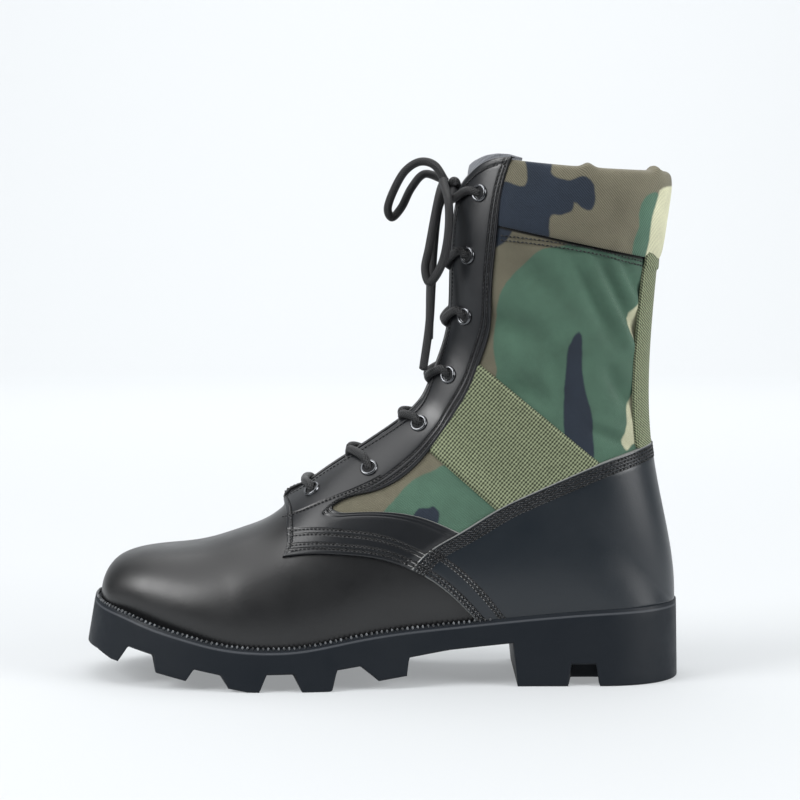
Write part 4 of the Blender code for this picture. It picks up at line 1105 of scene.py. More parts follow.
def make_outsole():
    """The sole as one closed skin; each section runs down the outer wall, across and up the inner wall.

    A wall goes from the top edge to the bottom edge by its share of the full depth, set back by the rim's and
    the foot's profiles. Across, the height is the tread's.
    """
    share = sole_shares()
    top = edge_line(share, EDGE_TOP)
    tip = edge_line(share, EDGE_BOTTOM)
    top_z = sole_top(top[0])
    full = top_z - lug_line(tip[0])
    narrow = np.minimum((top[2] - top[1]) / 2 / SOLE_NARROW, 1.0)

    def wall(side):
        """Rows of points down the wall of one side."""
        edge = 1 if side < 0 else 2
        depth = top_z - tread_height(tip[0], tip[edge])
        drops = [np.full(len(share), drop) for drop, _ in RIM_PROFILE]
        backs = [back for _, back in RIM_PROFILE]
        low, high = RIM_PROFILE[-1][0], depth - FOOT_PROFILE[0][0]
        drops += [low + (high - low) * part for part in WALL_SHARES]
        backs += [0.0] * len(WALL_SHARES)
        drops += [depth - rise for rise, _ in FOOT_PROFILE]
        backs += [back for _, back in FOOT_PROFILE]
        rows = []
        for drop, back in zip(drops, backs):
            part = drop / full
            x = top[0] + (tip[0] - top[0]) * part
            y = top[edge] + (tip[edge] - top[edge]) * part - side * back * narrow
            rows.append(np.stack([x, y, top_z - drop], axis=-1))
        return rows

    outer, inner = wall(-1), wall(1)
    columns = list(outer)
    for part in np.linspace(0, 1, SOLE_ACROSS + 2)[1:-1]:
        x, y = (outer[-1][:, k] + (inner[-1][:, k] - outer[-1][:, k]) * part for k in (0, 1))
        columns.append(np.stack([x, y, tread_height(x, y)], axis=-1))
    columns += inner[::-1]
    for part in np.linspace(0, 1, SOLE_TOP_ACROSS + 2)[1:-1]:
        columns.append(inner[0] + (outer[0] - inner[0]) * part)
    grid = np.stack(columns, axis=1)
    count, around = grid.shape[:2]
    faces = grid_quads(count, around, wrap_columns=True).tolist()
    last = (count - 1) * around
    faces += [list(range(around))[::-1], list(range(last, last + around))]
    # the lip's rows take the painted highlight: paler rubber where light catches the top edge
    lip = np.zeros(grid.shape[:2])
    lip[:, LIP_HIGHLIGHT_ROWS + [len(outer) + SOLE_ACROSS + len(inner) - 1 - row for row in LIP_HIGHLIGHT_ROWS]] = 1.0
    values = {"rim": lip.ravel()}
    made = add_piece("moulded_sole", grid.reshape(-1, 3), faces, [LOOKS["rubber"]], None, values)
    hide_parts("outsole")


def welt_places():
    """Middles of the ledge's stitches from arch to arch around the toe, with their way, outward and up."""
    share = np.linspace(WELT["start"], (WELT["end_x"] - TOE_X) / (HEEL_X - TOE_X), WELT["samples"])
    x, outer, inner = edge_line(share, EDGE_TOP)
    loop = np.concatenate([np.stack([x, outer], -1)[::-1], np.stack([x, inner], -1)])
    length = run_length(loop)
    at = np.arange(WELT["pitch"], length[-1], WELT["pitch"])
    spot, ahead = (np.stack([np.interp(at + step, length, loop[:, k]) for k in (0, 1)], axis=-1)
                   for step in (0.0, 0.5))
    way = np.concatenate([ahead - spot, (sole_top(ahead[:, 0]) - sole_top(spot[:, 0]))[:, None]], axis=1)
    way = unit(way)
    out = unit(np.stack([way[:, 1], -way[:, 0], np.zeros(len(way))], axis=-1))
    out = out * np.sign(np.sum(out[:, :2] * spot, axis=1))[:, None]
    up = np.cross(way, out)
    up = up * np.sign(up[:, 2:])
    middle = np.concatenate([spot, (sole_top(spot[:, 0]) - WELT["drop"])[:, None]], axis=1)
    return middle - out * WELT["inward"], way, out, up


def make_welt_stitches():
    """Short stitches along the sole's top ledge: one ellipsoid each, on its way, outward and up, joined."""
    middle, way, out, up = welt_places()
    around, rings = WELT["around"], WELT["rings"]
    turn = np.linspace(0, 2 * math.pi, around, endpoint=False)[None, :]
    slope = np.linspace(-WELT["cap"], WELT["cap"], rings)[:, None]
    shape = (np.sin(slope) * np.ones(turn.shape), np.cos(slope) * np.cos(turn), np.cos(slope) * np.sin(turn))
    points = middle[:, None]
    for axis, part, size in zip((way, out, up), shape, (WELT["long"], WELT["deep"], WELT["tall"])):
        points = points + axis[:, None] * part.reshape(1, -1, 1) * size
    total = around * rings
    caps = [range(around), range(total - 1, total - around - 1, -1)]
    faces = copies(grid_quads(rings, around, wrap_columns=True), total, len(middle))
    faces += copies(caps, total, len(middle))
    made = add_piece("welt_stitches", points.reshape(-1, 3), faces, [LOOKS["welt"]])


make_outsole()
make_welt_stitches()


# Line with canvas above it and leather below: x and z
CANVAS_LINE = ((-44.0, 300.0), (-40.0, 80.0), (15.0, 75.0), (40.0, 72.0), (150.0, 80.0))
FOLD_FROM = 3.0                 # height above that line from which the canvas is folded
CORNER_PIECES = 40
CUFF_TUCK_ROW = 21.93           # where the cuff's lower edge lies on the shaft
HUMP = {"height": 3.3, "y": 3.5, "width": 14.0, "along": ((-51.5, -46.0), (-45.0, -36.0))}
FAR_AWAY = 9.0                  # distance that stands for no edge or seam nearby

# Rows of the skin's grid: first, last and count of each stretch
SKIN_ROWS = (
    (0.05, 1.0, 12), (1.0, 7.2, 50), (7.25, 7.6, 9), (7.6, CUFF_TUCK_ROW, 150),
    (CUFF_TUCK_ROW, COLLAR_ROW, 16),
)
SKIN_COLUMNS = 84

TONGUE_TOP = (
    (38.5, 257.5), (41.0, 261.4), (45.0, 264.6), (50.0, 266.4), (56.0, 267.0), (62.0, 266.4), (68.0, 264.6),
)
TONGUE_SHARES = np.concatenate([np.linspace(0, 0.97, 70), np.linspace(0.975, 1, 8)])
TONGUE_COLUMNS = 30
TONGUE_HALVES = ((7.5, 14.0), (10.0, 22.0), (22.0, TONGUE_HALF), (23.2, TONGUE_HALF + 2.0))
TONGUE_SPREAD = (22.6, 23.8)    # rows over which its edge turns out to its domed top
TONGUE_SUNK = {"along": ((8.0, 9.5), (22.6, 23.7)), "deep": 3.0, "below_wall": 1.1}

INSOLE_EDGE = {"toe": -WALL - 4.0, "side": -WALL - 2.8, "heel": -WALL - 2.6}
INSOLE_STATIONS = 70
INSOLE_COLUMNS = 24

FOLD_ENDS = (0.02, 0.98)

# Folds in the canvas of the outer side: start x, start z, end x, end z, depth, half-width
FOLD_COLUMNS = ("x0", "z0", "x1", "z1", "depth", "width")
FOLDS = (
    (101.0, 215.0, 127.0, 168.0, -2.2, 2.8),
    (107.0, 217.0, 131.0, 172.0, 3.4, 3.4),
    (95.0, 216.0, 119.0, 168.0, 3.2, 5.0),
    (120.0, 214.0, 130.0, 196.0, 2.2, 2.6),
    (114.0, 214.0, 128.0, 190.0, -1.0, 2.2),
    (104.0, 129.0, 124.0, 121.5, 1.8, 2.8),
    (106.0, 134.0, 123.0, 127.0, -1.0, 3.0),
    (56.0, 186.0, 80.0, 172.0, 3.6, 6.6),
    (62.0, 154.0, 86.0, 142.0, 3.2, 6.0),
    (70.0, 216.0, 90.0, 190.0, 2.8, 6.6),
    (112.0, 162.0, 126.0, 138.0, 3.0, 4.2),
    (84.0, 172.0, 92.0, 140.0, 2.0, 5.0),
)

# Camouflage of the outer side: closed shapes, x and z, charted; what is in none of them is green
SHAFT_BROWN = (
    ((52, 218), (52, 232), (62, 236), (93, 232), (93, 225), (91, 221), (79, 219), (73, 214), (66, 207),
     (60, 199), (57, 187), (56, 171), (57, 155), (46, 146), (44, 180)),
    ((-36, 84), (-12, 79), (-2, 82), (1, 88), (6, 93), (11, 99), (17, 104), (28, 109), (38, 116), (34, 130),
     (10, 112), (-10, 102), (-34, 96)),
)
SHAFT_NAVY = (
    ((57, 232), (65, 230), (63, 225), (59, 221), (55, 221)),
    ((98, 178), (100, 174), (100, 161), (102, 148), (105, 136), (106, 126), (106, 112), (101, 108), (93, 116),
     (91, 128), (91, 146), (92, 161), (93, 170), (96, 176)),
    ((17, 88), (20, 90), (23, 89.5), (26, 90.5), (29, 87.5), (28, 82), (22, 80), (16, 84)),
)
SHAFT_TAN = (
    ((129, 192), (125, 186), (125, 180), (127, 174), (130, 168), (131, 162), (130, 154), (127, 147),
     (124, 139), (123, 131), (121, 123), (123, 118), (127, 121), (134, 122), (140, 140), (138, 165),
     (136, 190), (133, 196)),
)
CUFF_GREEN = (
    ((138, 247), (131, 245), (128, 238), (128, 230), (125, 221), (127, 212), (140, 210), (137, 222),
     (136, 233), (138, 241)),
)
CUFF_NAVY = (
    ((72, 268), (84, 266), (84, 256), (92, 253), (99, 255), (103, 253), (105, 249), (105, 241),
     (103, 238), (99, 239), (95, 242), (94, 238), (89, 236), (83, 235), (82, 222), (70, 218), (54, 220),
     (55, 238), (60, 252), (69, 250), (72, 253)),
)
CUFF_TAN = (
    ((140, 249), (150, 251), (156, 248), (159, 240), (155, 230), (157, 220), (153, 206), (140, 202),
     (132, 208), (134, 225), (135, 235), (138, 245)),
)
CUFF_BACK_X = 148.5             # the cuff's shapes go on past this line, around the back
INNER_SLIDE = (-16.0, 13.0)     # the same print lies elsewhere on the inner side


def closed_curve(points, pieces=6):
    """A smooth closed curve: cubics through the points, taken round."""
    points = np.asarray(points, float)
    looped = np.concatenate([points[-1:], points, points[:2]])
    share = (np.arange(pieces) / pieces)[None, :, None]
    return curve_between(*(looped[k:k + len(points), None] for k in range(4)), share).reshape(-1, 2)


def signed_distance(places, curve):
    """Distance from places to the nearest edge of a closed curve.

    It is negative where a line to the right crosses the curve an odd number of times.
    """
    after = np.roll(curve, -1, axis=0)
    edge = after - curve
    nearest = np.full(len(places), 1e9)
    inside = np.zeros(len(places), bool)
    for start, way, stop in zip(curve, edge, after):
        offset = places - start
        share = np.clip(offset @ way / max(way @ way, 1e-9), 0, 1)
        nearest = np.minimum(nearest, np.linalg.norm(offset - share[:, None] * way, axis=1))
        crosses = (start[1] > places[:, 1]) != (stop[1] > places[:, 1])
        cut_x = start[0] + (places[:, 1] - start[1]) * way[0] / (way[1] if way[1] else 1e-9)
        inside ^= crosses & (places[:, 0] < cut_x)
    return np.where(inside, -nearest, nearest)


def shape_distance(points, shapes, around=False):
    """Least distance to any of the printed shapes, negative inside.

    On the inner side x and z are slid, or x is mirrored where a shape goes around the back.
    """
    inner = points[:, 1] > 0
    places = points[:, [0, 2]] + inner[:, None] * np.array(INNER_SLIDE)
    if around:
        x = np.where(inner, 2 * CUFF_BACK_X - points[:, 0], points[:, 0])
        places = np.stack([x, points[:, 2]], axis=-1)
    return np.min([signed_distance(places, closed_curve(shape)) for shape in shapes], axis=0)


def shaft_camo(points):
    """Distances to the borders of the shaft's brown, navy and tan shapes."""
    shapes = {"camo_brown": SHAFT_BROWN, "camo_navy": SHAFT_NAVY, "camo_tan": SHAFT_TAN}
    return {name: shape_distance(points, every) for name, every in shapes.items()}


def cuff_camo(points):
    """Distances to the borders of the cuff's shapes; it is brown all over but for its green shape."""
    return {"camo_brown": -shape_distance(points, CUFF_GREEN), "camo_navy": shape_distance(points, CUFF_NAVY),
            "camo_tan": shape_distance(points, CUFF_TAN, True)}


def fold_lift(points):
    """Soft troughs along the folds of the outer side: a bell curve across, the root of half a sine along."""
    lift = np.zeros(points.shape[:-1])
    for row in FOLDS:
        fold = dict(zip(FOLD_COLUMNS, row))
        start = np.array([fold["x0"], fold["z0"]])
        way = np.array([fold["x1"], fold["z1"]]) - start
        offset = points[..., [0, 2]] - start
        share = np.clip(offset @ way / (way @ way), 0, 1)
        gap = np.linalg.norm(offset - share[..., None] * way, axis=-1)
        along = np.sin(math.pi * np.clip(share, *FOLD_ENDS)) ** 0.5
        lift -= fold["depth"] * np.exp(-(gap / fold["width"]) ** 2) * along
    return lift * (points[..., 1] < 0)


def corner_angle(rows):
    """Least angle left by the rounded top corner of the eyestay, read from its curve."""
    corner = smooth_curve(COLLAR_CORNER, CORNER_PIECES)
    corner_rows, corner_angles = locate(corner[:, 0], corner[:, 1])
    return np.interp(rows, corner_rows, corner_angles, left=0.0)


def half_grid(rows, columns, first, last):
    """Rows and angles of a grid that runs evenly from a first to a last angle in every row."""
    share = np.linspace(0, 1, columns)[None, :]
    angles = first[:, None] + (last - first)[:, None] * share
    return np.repeat(rows[:, None], columns, axis=1), angles


def arc_uv(grid):
    """Running lengths across and along a grid of points, in millimetres."""
    across = run_length(grid.transpose(1, 0, 2)).T
    along = run_length(grid)
    return np.stack([across, along], axis=-1).reshape(-1, 2)


def throat_hump(points):
    """Rise of the layers where both quarters start at the throat's foot: a plateau along, a bell across."""
    along = plateau(points[..., 0], *HUMP["along"])
    return HUMP["height"] * along * np.exp(-((points[..., 1] - HUMP["y"]) / HUMP["width"]) ** 2)


def make_skin():
    """Vamp leather and printed canvas as one hollow wall with its lining.

    It is the upper's surface over a grid of rows and angles, lifted by folds and hump, thickened inwards.
    """
    rows = np.unique(np.concatenate([np.linspace(*stretch) for stretch in SKIN_ROWS]))
    first = np.where(rows < THROAT_ROWS[0][0], 0.0, np.maximum(throat_angle(rows), corner_angle(rows)))
    last = section(rows)["end_angle"]
    grid_rows, angles = half_grid(rows, SKIN_COLUMNS, first, last)
    halves, points = [], []
    for side in SIDES:
        flat = lifted_point(grid_rows, np.full(grid_rows.shape, side), angles, np.zeros(grid_rows.shape))
        canvas = flat[..., 2] > np.interp(flat[..., 0], *np.transpose(CANVAS_LINE)) + FOLD_FROM
        halves.append((grid_rows, angles, side, fold_lift(flat) * canvas + throat_hump(flat)))
        points.append(flat)
    uv = np.concatenate([arc_uv(grid) for grid in points])
    every = np.concatenate([grid.reshape(-1, 3) for grid in points])
    faces = np.concatenate([grid_quads(*grid_rows.shape, k * grid_rows.size) for k in (0, 1)])
    middle = every[faces].mean(axis=1)
    canvas = middle[:, 2] > np.interp(middle[:, 0], *np.transpose(CANVAS_LINE))
    materials = [LOOKS["vamp"], LOOKS["canvas"], LOOKS["lining"], LOOKS["lining"]]
    values = shaft_camo(every)
    values["edge_distance"] = np.full(len(every), FAR_AWAY)
    climb = [run_length(grid) for grid in points]
    # distance below the cuff's lower edge, by which the canvas takes a painted shadow
    tuck = int(np.argmin(np.abs(rows - CUFF_TUCK_ROW)))
    values["below_cuff"] = np.concatenate([np.abs(length - length[tuck]).ravel() for length in climb])
    made = surface_piece("boot_upper", halves, materials, uv, values, WALL, 2, canvas.astype(int))
    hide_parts("upper")


def make_tongue():
    """A soft sheet behind the throat with a domed top that shows above the eyestay.

    It is the upper's surface out to a half-width, sunk under the lace by a plateau along the rows.
    """
    across = np.linspace(0, 1, TONGUE_COLUMNS)[None, :]
    top_rows, top_angles = locate(*np.transpose(TONGUE_TOP))
    top = np.interp(across * top_angles[-1], top_angles, top_rows)
    rows = TONGUE_START_ROW + (top - TONGUE_START_ROW) * TONGUE_SHARES[:, None]
    half = np.interp(rows, *np.transpose(TONGUE_HALVES))
    spread = soft_step(rows, *TONGUE_SPREAD)
    angles = across * (angle_at_half_width(rows, half) * (1 - spread) + top_angles[-1] * spread)
    lift = -WALL - TONGUE_SUNK["below_wall"] - TONGUE_SUNK["deep"] * plateau(rows, *TONGUE_SUNK["along"])
    halves = [(rows, angles, side, lift) for side in SIDES]
    uv = np.concatenate([arc_uv(upper_point(rows, side, angles)) for side in SIDES])
    made = surface_piece("tongue_sheet", halves, [LOOKS["tongue"]], uv, None, TONGUE_THICKNESS)
    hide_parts("tongue")


def make_insole():
    """A board on the sole, inside the upper: straight across between the foot's plan lines."""
    x, outer, inner = edge_line(stations(INSOLE_STATIONS, 0.001), INSOLE_EDGE)
    share = np.linspace(0, 1, INSOLE_COLUMNS)[None, :]
    y = outer[:, None] + (inner - outer)[:, None] * share
    z = sole_top(x) + GAP + INSOLE_THICKNESS
    grid = np.stack(np.broadcast_arrays(x[:, None], y, z[:, None]), axis=-1)
    quads = grid_quads(*grid.shape[:2])
    made = add_piece("insole_sheet", grid.reshape(-1, 3), quads[:, ::-1], [LOOKS["insole"]], arc_uv(grid))
    thicken(made, INSOLE_THICKNESS)
    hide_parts("insole")


make_skin()
make_tongue()
make_insole()


# Distances of a panel's columns from its edges
EDGE_STEPS = np.array([0.0, 0.2, 0.5, 0.9, 1.4, 1.9, 2.4, 2.9, 3.6, 4.3, 4.8, 5.3, 6.2])
EDGE_MOST = 0.42        # share of a narrow panel's width that these take up at most
EDGE_RADIUS = 1.0
PANEL_BASE = 0.1
PANEL_TOP = 1.85
SEAM_DEPTH = 0.22
SEAM_WIDTH = 0.55
SEAM_PIECES = 60
LENGTH_PIECES = 16
PANEL_INNER = 10        # columns between those near the edges
NO_WIDTH = 1e-6
STITCH = {"pitch": 2.1, "long": 1.5, "thick": 0.36, "around": 6}
STITCH_AHEAD = 0.4

# Rings along a stitch: share of its length, share of its thickness, rise
STITCH_RINGS = ((-0.5, 0.45, -0.16), (-0.28, 1.0, 0.06), (0.28, 1.0, 0.06), (0.5, 0.45, -0.16))

# The eyestay and its lower band, seen from the side
EYESTAY_SEAM = (
    (-49.5, 82.4), (-40.0, 86.2), (-30.0, 90.9), (-23.0, 93.8), (-14.0, 97.4), (-5.6, 101.2), (1.0, 104.8),
)
EYESTAY_SLOPE = 0.87    # about the cosine of that seam's slope
QUARTER_TOE = ((-48.9, 88.3), (-48.0, 86.0), (-47.6, 80.0), (-47.2, 70.5), (-49.2, 65.4))
QUARTER_END_ROW = 7.42  # where its edge leaves the throat
QUARTER_COUNTS = {"throat": 90, "toe": 44, "band": 71}
BAND_LOWER = QUARTER_LOWER[4::-1]
BAND_END = ((22.0, 55.6),)
BAND_FRONT = (-45.0, 66.0)      # foot of the upright seam at the band's front
WINDOW_END = ((46.5, 74.2),)
REAR_SPLITS = ((-5.3, 97.0), (-15.0, 87.3))         # where the rear edge turns
REAR_COUNTS = (130, 45, 71)     # points on its parts, to match the front edge
REAR_SAMPLES = 400
REAR_SPAN = (0.02, 0.66)        # shares of the edges that the seams follow
FRONT_SPAN = (0.03, 0.70)
BAND_SPAN = 0.68
BAND_TAIL = {"start": 16, "end": 8, "flat": 0.25}   # the band's last lines thin out under the heel cup

COUNTER_SEAM_ROW = 19.02        # top of the heel cup at the back
COUNTER_SIZE = (170.0, 70.0)    # about its length on one side and its height
COUNTER_COUNTS = (70, 40)
COUNTER_PIECES = 90
COUNTER_BLEND = 6               # the higher, the nearer the seam its top edge bends to it
COUNTER_SLANT = 0.6
COUNTER_CLEAR = 9               # columns by the corner that are left without stitches

STRAP_UPPER = np.array([(42.6, 167.0), (114.6, 107.8)])
STRAP_LOWER = np.array([(17.1, 123.0), (63.6, 83.2)])
STRAP_COUNTS = (70, 30)
STRAP_EDGE = {"base": 0.25, "rise": 0.95, "radius": 1.4, "rib": 0.12, "rib_width": 1.8}

BACKSTAY_ROWS = ((18.6, 21.4, 50), (21.45, 22.1, 24))       # first, last and count of each stretch
BACKSTAY_COLUMNS = 16
BACKSTAY_SPARE = 3.8            # rolled edge beyond the webbing's own width
BACKSTAY_EDGE = {"base": 0.3, "rise": 0.9, "radius": 1.2}
BACKSTAY_FOLD = {"rows": (21.75, 21.80), "rise": 0.9, "radius": 0.06}

STITCHES = []                   # middle, way and outward direction of every stitch


def on_upper(places):
    """Rows and angles of places seen from the side, kept out of the throat."""
    places = np.asarray(places, float)
    rows, angles = locate(places[:, 0], places[:, 1])
    return np.stack([rows, np.maximum(angles, throat_angle(rows))], axis=-1)


def ruled_spots(first, second, share):
    """Rows and angles on the straight lines between two edges: the first plus a share of the difference."""
    spots = first[:, None] + (second - first)[:, None] * share[..., None]
    return spots[..., 0], spots[..., 1]


def line_lengths(first, second):
    """Lengths over the surface of the lines between two edges: the sums of short steps."""
    share = np.repeat(np.linspace(0, 1, LENGTH_PIECES)[None, :], len(first), axis=0)
    rows, angles = ruled_spots(first, second, share)
    points = upper_point(rows, -1.0, angles)
    return np.linalg.norm(np.diff(points, axis=1), axis=-1).sum(axis=1)


def edge_shares(lengths):
    """Shares along lines of those lengths, close together near both ends."""
    squeeze = np.minimum(1.0, EDGE_MOST * lengths / EDGE_STEPS[-1])
    near = EDGE_STEPS[None, :] * (squeeze / np.maximum(lengths, NO_WIDTH))[:, None]
    middle = np.linspace(0, 1, PANEL_INNER + 2)[None, 1:-1]
    middle = near[:, -1:] + (1 - 2 * near[:, -1:]) * middle
    return np.concatenate([near, middle, 1 - near[:, ::-1]], axis=1)


def seam_dent(distance, seams):
    """Shallow furrows where stitch lines pull a panel down: a bell curve of the distance to each."""
    return sum(-SEAM_DEPTH * np.exp(-((distance - seam) / SEAM_WIDTH) ** 2) for seam in seams)


def sew(rows, angles, side, lift, slant=0.0):
    """Adds a row of stitches along a line of the surface, leaning to and fro by the slant."""
    sides = np.full(rows.shape, float(side))
    line = lifted_point(rows, sides, angles, lift + throat_hump(upper_point(rows, sides, angles)))
    normal = upper_normal(rows, sides, angles)
    length = run_length(line)
    at = np.arange(STITCH["pitch"] / 2, length[-1], STITCH["pitch"])
    middle, way, out = ([np.interp(at + step, length, data[:, k]) for k in range(3)]
                        for data, step in ((line, 0.0), (line, STITCH_AHEAD), (normal, 0.0)))
    middle = np.stack(middle, axis=-1)
    way = unit(np.stack(way, axis=-1) - middle)
    out = unit(np.stack(out, axis=-1))
    lean = slant * np.where(np.arange(len(at)) % 2, 1.0, -1.0)[:, None]
    STITCHES.append((middle, unit(way + lean * np.cross(out, way)), out))


def sew_edge(first, second, side, distance, lift, span):
    """A stitch line at a distance from the first edge of a panel, over a span of it."""
    lengths = line_lengths(first, second)
    keep = slice(int(span[0] * len(first)), int(span[1] * len(first)))
    share = np.minimum(distance / np.maximum(lengths, NO_WIDTH), 0.5)[keep, None]
    rows, angles = ruled_spots(first[keep], second[keep], share)
    sew(rows[:, 0], angles[:, 0], side, lift)


def sew_places(places, side, lift, slant=0.0):
    """A stitch line through places seen from the side."""
    rows, angles = locate(*smooth_curve(places, SEAM_PIECES).T)
    sew(rows, angles, side, lift, slant)


def quarter_edges():
    """Front and rear edges of the eyestay and its band, matched point by point, as rows and angles."""
    corner = on_upper(smooth_curve(COLLAR_CORNER[::-1], CORNER_PIECES))
    rows = np.linspace(corner[-1, 0] - 0.05, QUARTER_END_ROW, QUARTER_COUNTS["throat"])
    throat = np.stack([rows, throat_angle(rows)], axis=-1)
    toe_side = on_upper(smooth_curve(QUARTER_TOE, QUARTER_COUNTS["toe"]))
    below = on_upper(smooth_curve(BAND_LOWER + BAND_END, QUARTER_COUNTS["band"]))[1:]
    front = np.concatenate([corner, throat, toe_side, below])
    rear = smooth_curve(QUARTER_REAR + QUARTER_WINDOW + WINDOW_END, REAR_SAMPLES)
    turns = [int(np.argmin(np.abs(rear - place).sum(axis=1))) for place in REAR_SPLITS]
    ends = [0] + turns + [REAR_SAMPLES - 1]
    parts = zip(ends[:-1], ends[1:], REAR_COUNTS)
    rear = np.concatenate([smooth_curve(rear[a:b + 1], count)[int(a > 0):] for a, b, count in parts])
    return front, on_upper(rear)


def panel_lift(distance):
    """Lift of a panel: from its base to its top by a quarter circle at the edge."""
    return PANEL_BASE + (PANEL_TOP - PANEL_BASE) * rounded_rise(distance, EDGE_RADIUS)


def make_quarter(side, word, front, rear):
    """One eyestay panel with its band and stitches.

    Lines are ruled over the upper from its front to its rear edge and lifted by the rolled edge, the seams'
    furrows and the hump.
    """
    lengths = line_lengths(front, rear)
    share = edge_shares(lengths)
    rows, angles = ruled_spots(front, rear, share)
    from_front = share * lengths[:, None]
    from_rear = (1 - share) * lengths[:, None]
    flat = upper_point(rows, np.full(rows.shape, side), angles)
    lift = panel_lift(np.minimum(from_front, from_rear)) + throat_hump(flat)
    lift = lift + seam_dent(from_rear, SEAM_ROWS) + seam_dent(from_front, (EYESTAY_SEAM_ROW,))
    count = len(front)
    tail = 1 - soft_step(np.arange(count), count - BAND_TAIL["start"], count - BAND_TAIL["end"])
    lift = lift * (BAND_TAIL["flat"] + (1 - BAND_TAIL["flat"]) * tail)[:, None]
    along = run_length(upper_point(front[:, 0], -1.0, front[:, 1]))[:, None]
    uv = np.stack(np.broadcast_arrays(from_front, along), axis=-1).reshape(-1, 2)
    order = np.arange(count)[:, None] / count
    lower = smooth_curve(BAND_LOWER + BAND_END, SEAM_PIECES).T
    by_front = (order > FRONT_SPAN[0]) & (order < FRONT_SPAN[1])
    seam_z = np.interp(flat[..., 0], *np.transpose(EYESTAY_SEAM), 0.0, 0.0)
    values = {"edge_distance": np.where(order > BAND_SPAN, from_rear, FAR_AWAY),
              "rear_line": np.where(order < REAR_SPAN[1], from_rear, FAR_AWAY),
              "front_line": np.where(by_front, from_front, FAR_AWAY),
              "band_line": flat[..., 2] - np.interp(flat[..., 0], *lower),
              "eyestay_line": EYESTAY_SLOPE * (flat[..., 2] - seam_z)}
    halves = [(rows, angles, side, lift)]
    made = surface_piece(f"quarter_{word}_panel", halves, [LOOKS["quarter"]], uv, values)
    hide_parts(f"quarter_{word}")
    for seam in SEAM_ROWS:
        sew_edge(rear, front, side, seam, PANEL_TOP, REAR_SPAN)
    sew_edge(front, rear, side, EYESTAY_SEAM_ROW, PANEL_TOP, FRONT_SPAN)
    front_x, front_z = BAND_FRONT
    for distance in BAND_SEAMS:
        sew_places([(max(x, front_x), z + distance) for x, z in BAND_LOWER], side, PANEL_TOP)
    sew_places([(front_x, front_z + BAND_SEAMS[0]), (front_x, front_z + BAND_SEAMS[-1])], side, PANEL_TOP)


def counter_spots(across, up):
    """Rows and angles of the heel cup, by shares from front edge to back seam and from sole to top edge."""
    share = np.linspace(0, 1, COUNTER_PIECES)
    top_rows, top_angles = locate(*smooth_curve(COUNTER_TOP[:-1], COUNTER_PIECES).T)
    top_angles = top_angles + (math.pi - top_angles[-1]) * share ** COUNTER_BLEND
    top_rows = top_rows + (COUNTER_SEAM_ROW - top_rows[-1]) * share ** COUNTER_BLEND
    front_rows, front_angles = locate(*smooth_curve(COUNTER_FRONT + COUNTER_TOP[:1], COUNTER_PIECES).T)
    foot_rows = front_rows[0] + (HEEL_ROW - front_rows[0]) * share
    foot_angles = section(foot_rows)["end_angle"]
    back_rows = HEEL_ROW + (COUNTER_SEAM_ROW - HEEL_ROW) * share

    def read(values, at):
        """An edge's value at shares of its length."""
        return np.interp(at, share, values)

    def patch(foot, crown, left, right):
        """Both ruled surfaces between four edges, less the one through their corners."""
        corners = ((1 - across) * (1 - up) * left[0] + across * (1 - up) * right[0]
                   + (1 - across) * up * left[-1] + across * up * right[-1])
        return ((1 - up) * read(foot, across) + up * read(crown, across)
                + (1 - across) * read(left, up) + across * read(right, up) - corners)

    front_angles[0] = foot_angles[0]
    foot_angles[-1] = math.pi
    back_angles = np.full(COUNTER_PIECES, math.pi)
    rows = patch(foot_rows, top_rows, front_rows, back_rows)
    return rows, patch(foot_angles, top_angles, front_angles, back_angles)


def sew_counter(across, up, side):
    """A stitch line at shares across and up the heel cup."""
    rows, angles = counter_spots(across, up)
    sew(rows, np.minimum(angles, math.pi), side, PANEL_TOP, COUNTER_SLANT)


def make_counter():
    """The heel cup around the back, from a patch between its front edge, top edge, back seam and the sole."""
    near_front, near_top = (EDGE_STEPS / size for size in COUNTER_SIZE)
    across = np.concatenate([near_front, np.linspace(near_front[-1], 1, COUNTER_COUNTS[0])[1:]])
    up = np.concatenate([np.linspace(0, 1 - near_top[-1], COUNTER_COUNTS[1])[:-1], 1 - near_top[::-1]])
    grid_across, grid_up = np.meshgrid(across, up, indexing="ij")
    rows, angles = counter_spots(grid_across, grid_up)
    angles = np.clip(angles, 0.01, math.pi)
    flat = upper_point(rows, -1.0, angles)
    along = run_length(flat)
    climb = run_length(flat.transpose(1, 0, 2)).T
    from_top = climb[:, -1:] - climb
    distance = np.minimum(along, from_top)
    dent = seam_dent(from_top, COUNTER_TOP_SEAMS) + seam_dent(along, COUNTER_FRONT_SEAMS)
    lift = panel_lift(distance) + dent
    halves = [(rows, angles, side, lift) for side in SIDES]
    uv = np.concatenate([np.stack([along, climb], -1).reshape(-1, 2)] * 2)
    values = {"edge_distance": distance, "top_line": from_top, "front_line": along}
    values = {name: np.concatenate([value.ravel()] * 2) for name, value in values.items()}
    made = surface_piece("heel_counter", halves, [LOOKS["counter"]], uv, values)
    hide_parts("counter")
    for side in SIDES:
        for seam in COUNTER_TOP_SEAMS:
            level = np.array([np.interp(-seam, -from_top[i], grid_up[i]) for i in range(len(across))])
            sew_counter(across[COUNTER_CLEAR:], level[COUNTER_CLEAR:], side)
        for seam in COUNTER_FRONT_SEAMS:
            place = np.array([np.interp(seam, along[:, j], across) for j in range(len(up))])
            sew_counter(place[:-COUNTER_CLEAR], up[:-COUNTER_CLEAR], side)


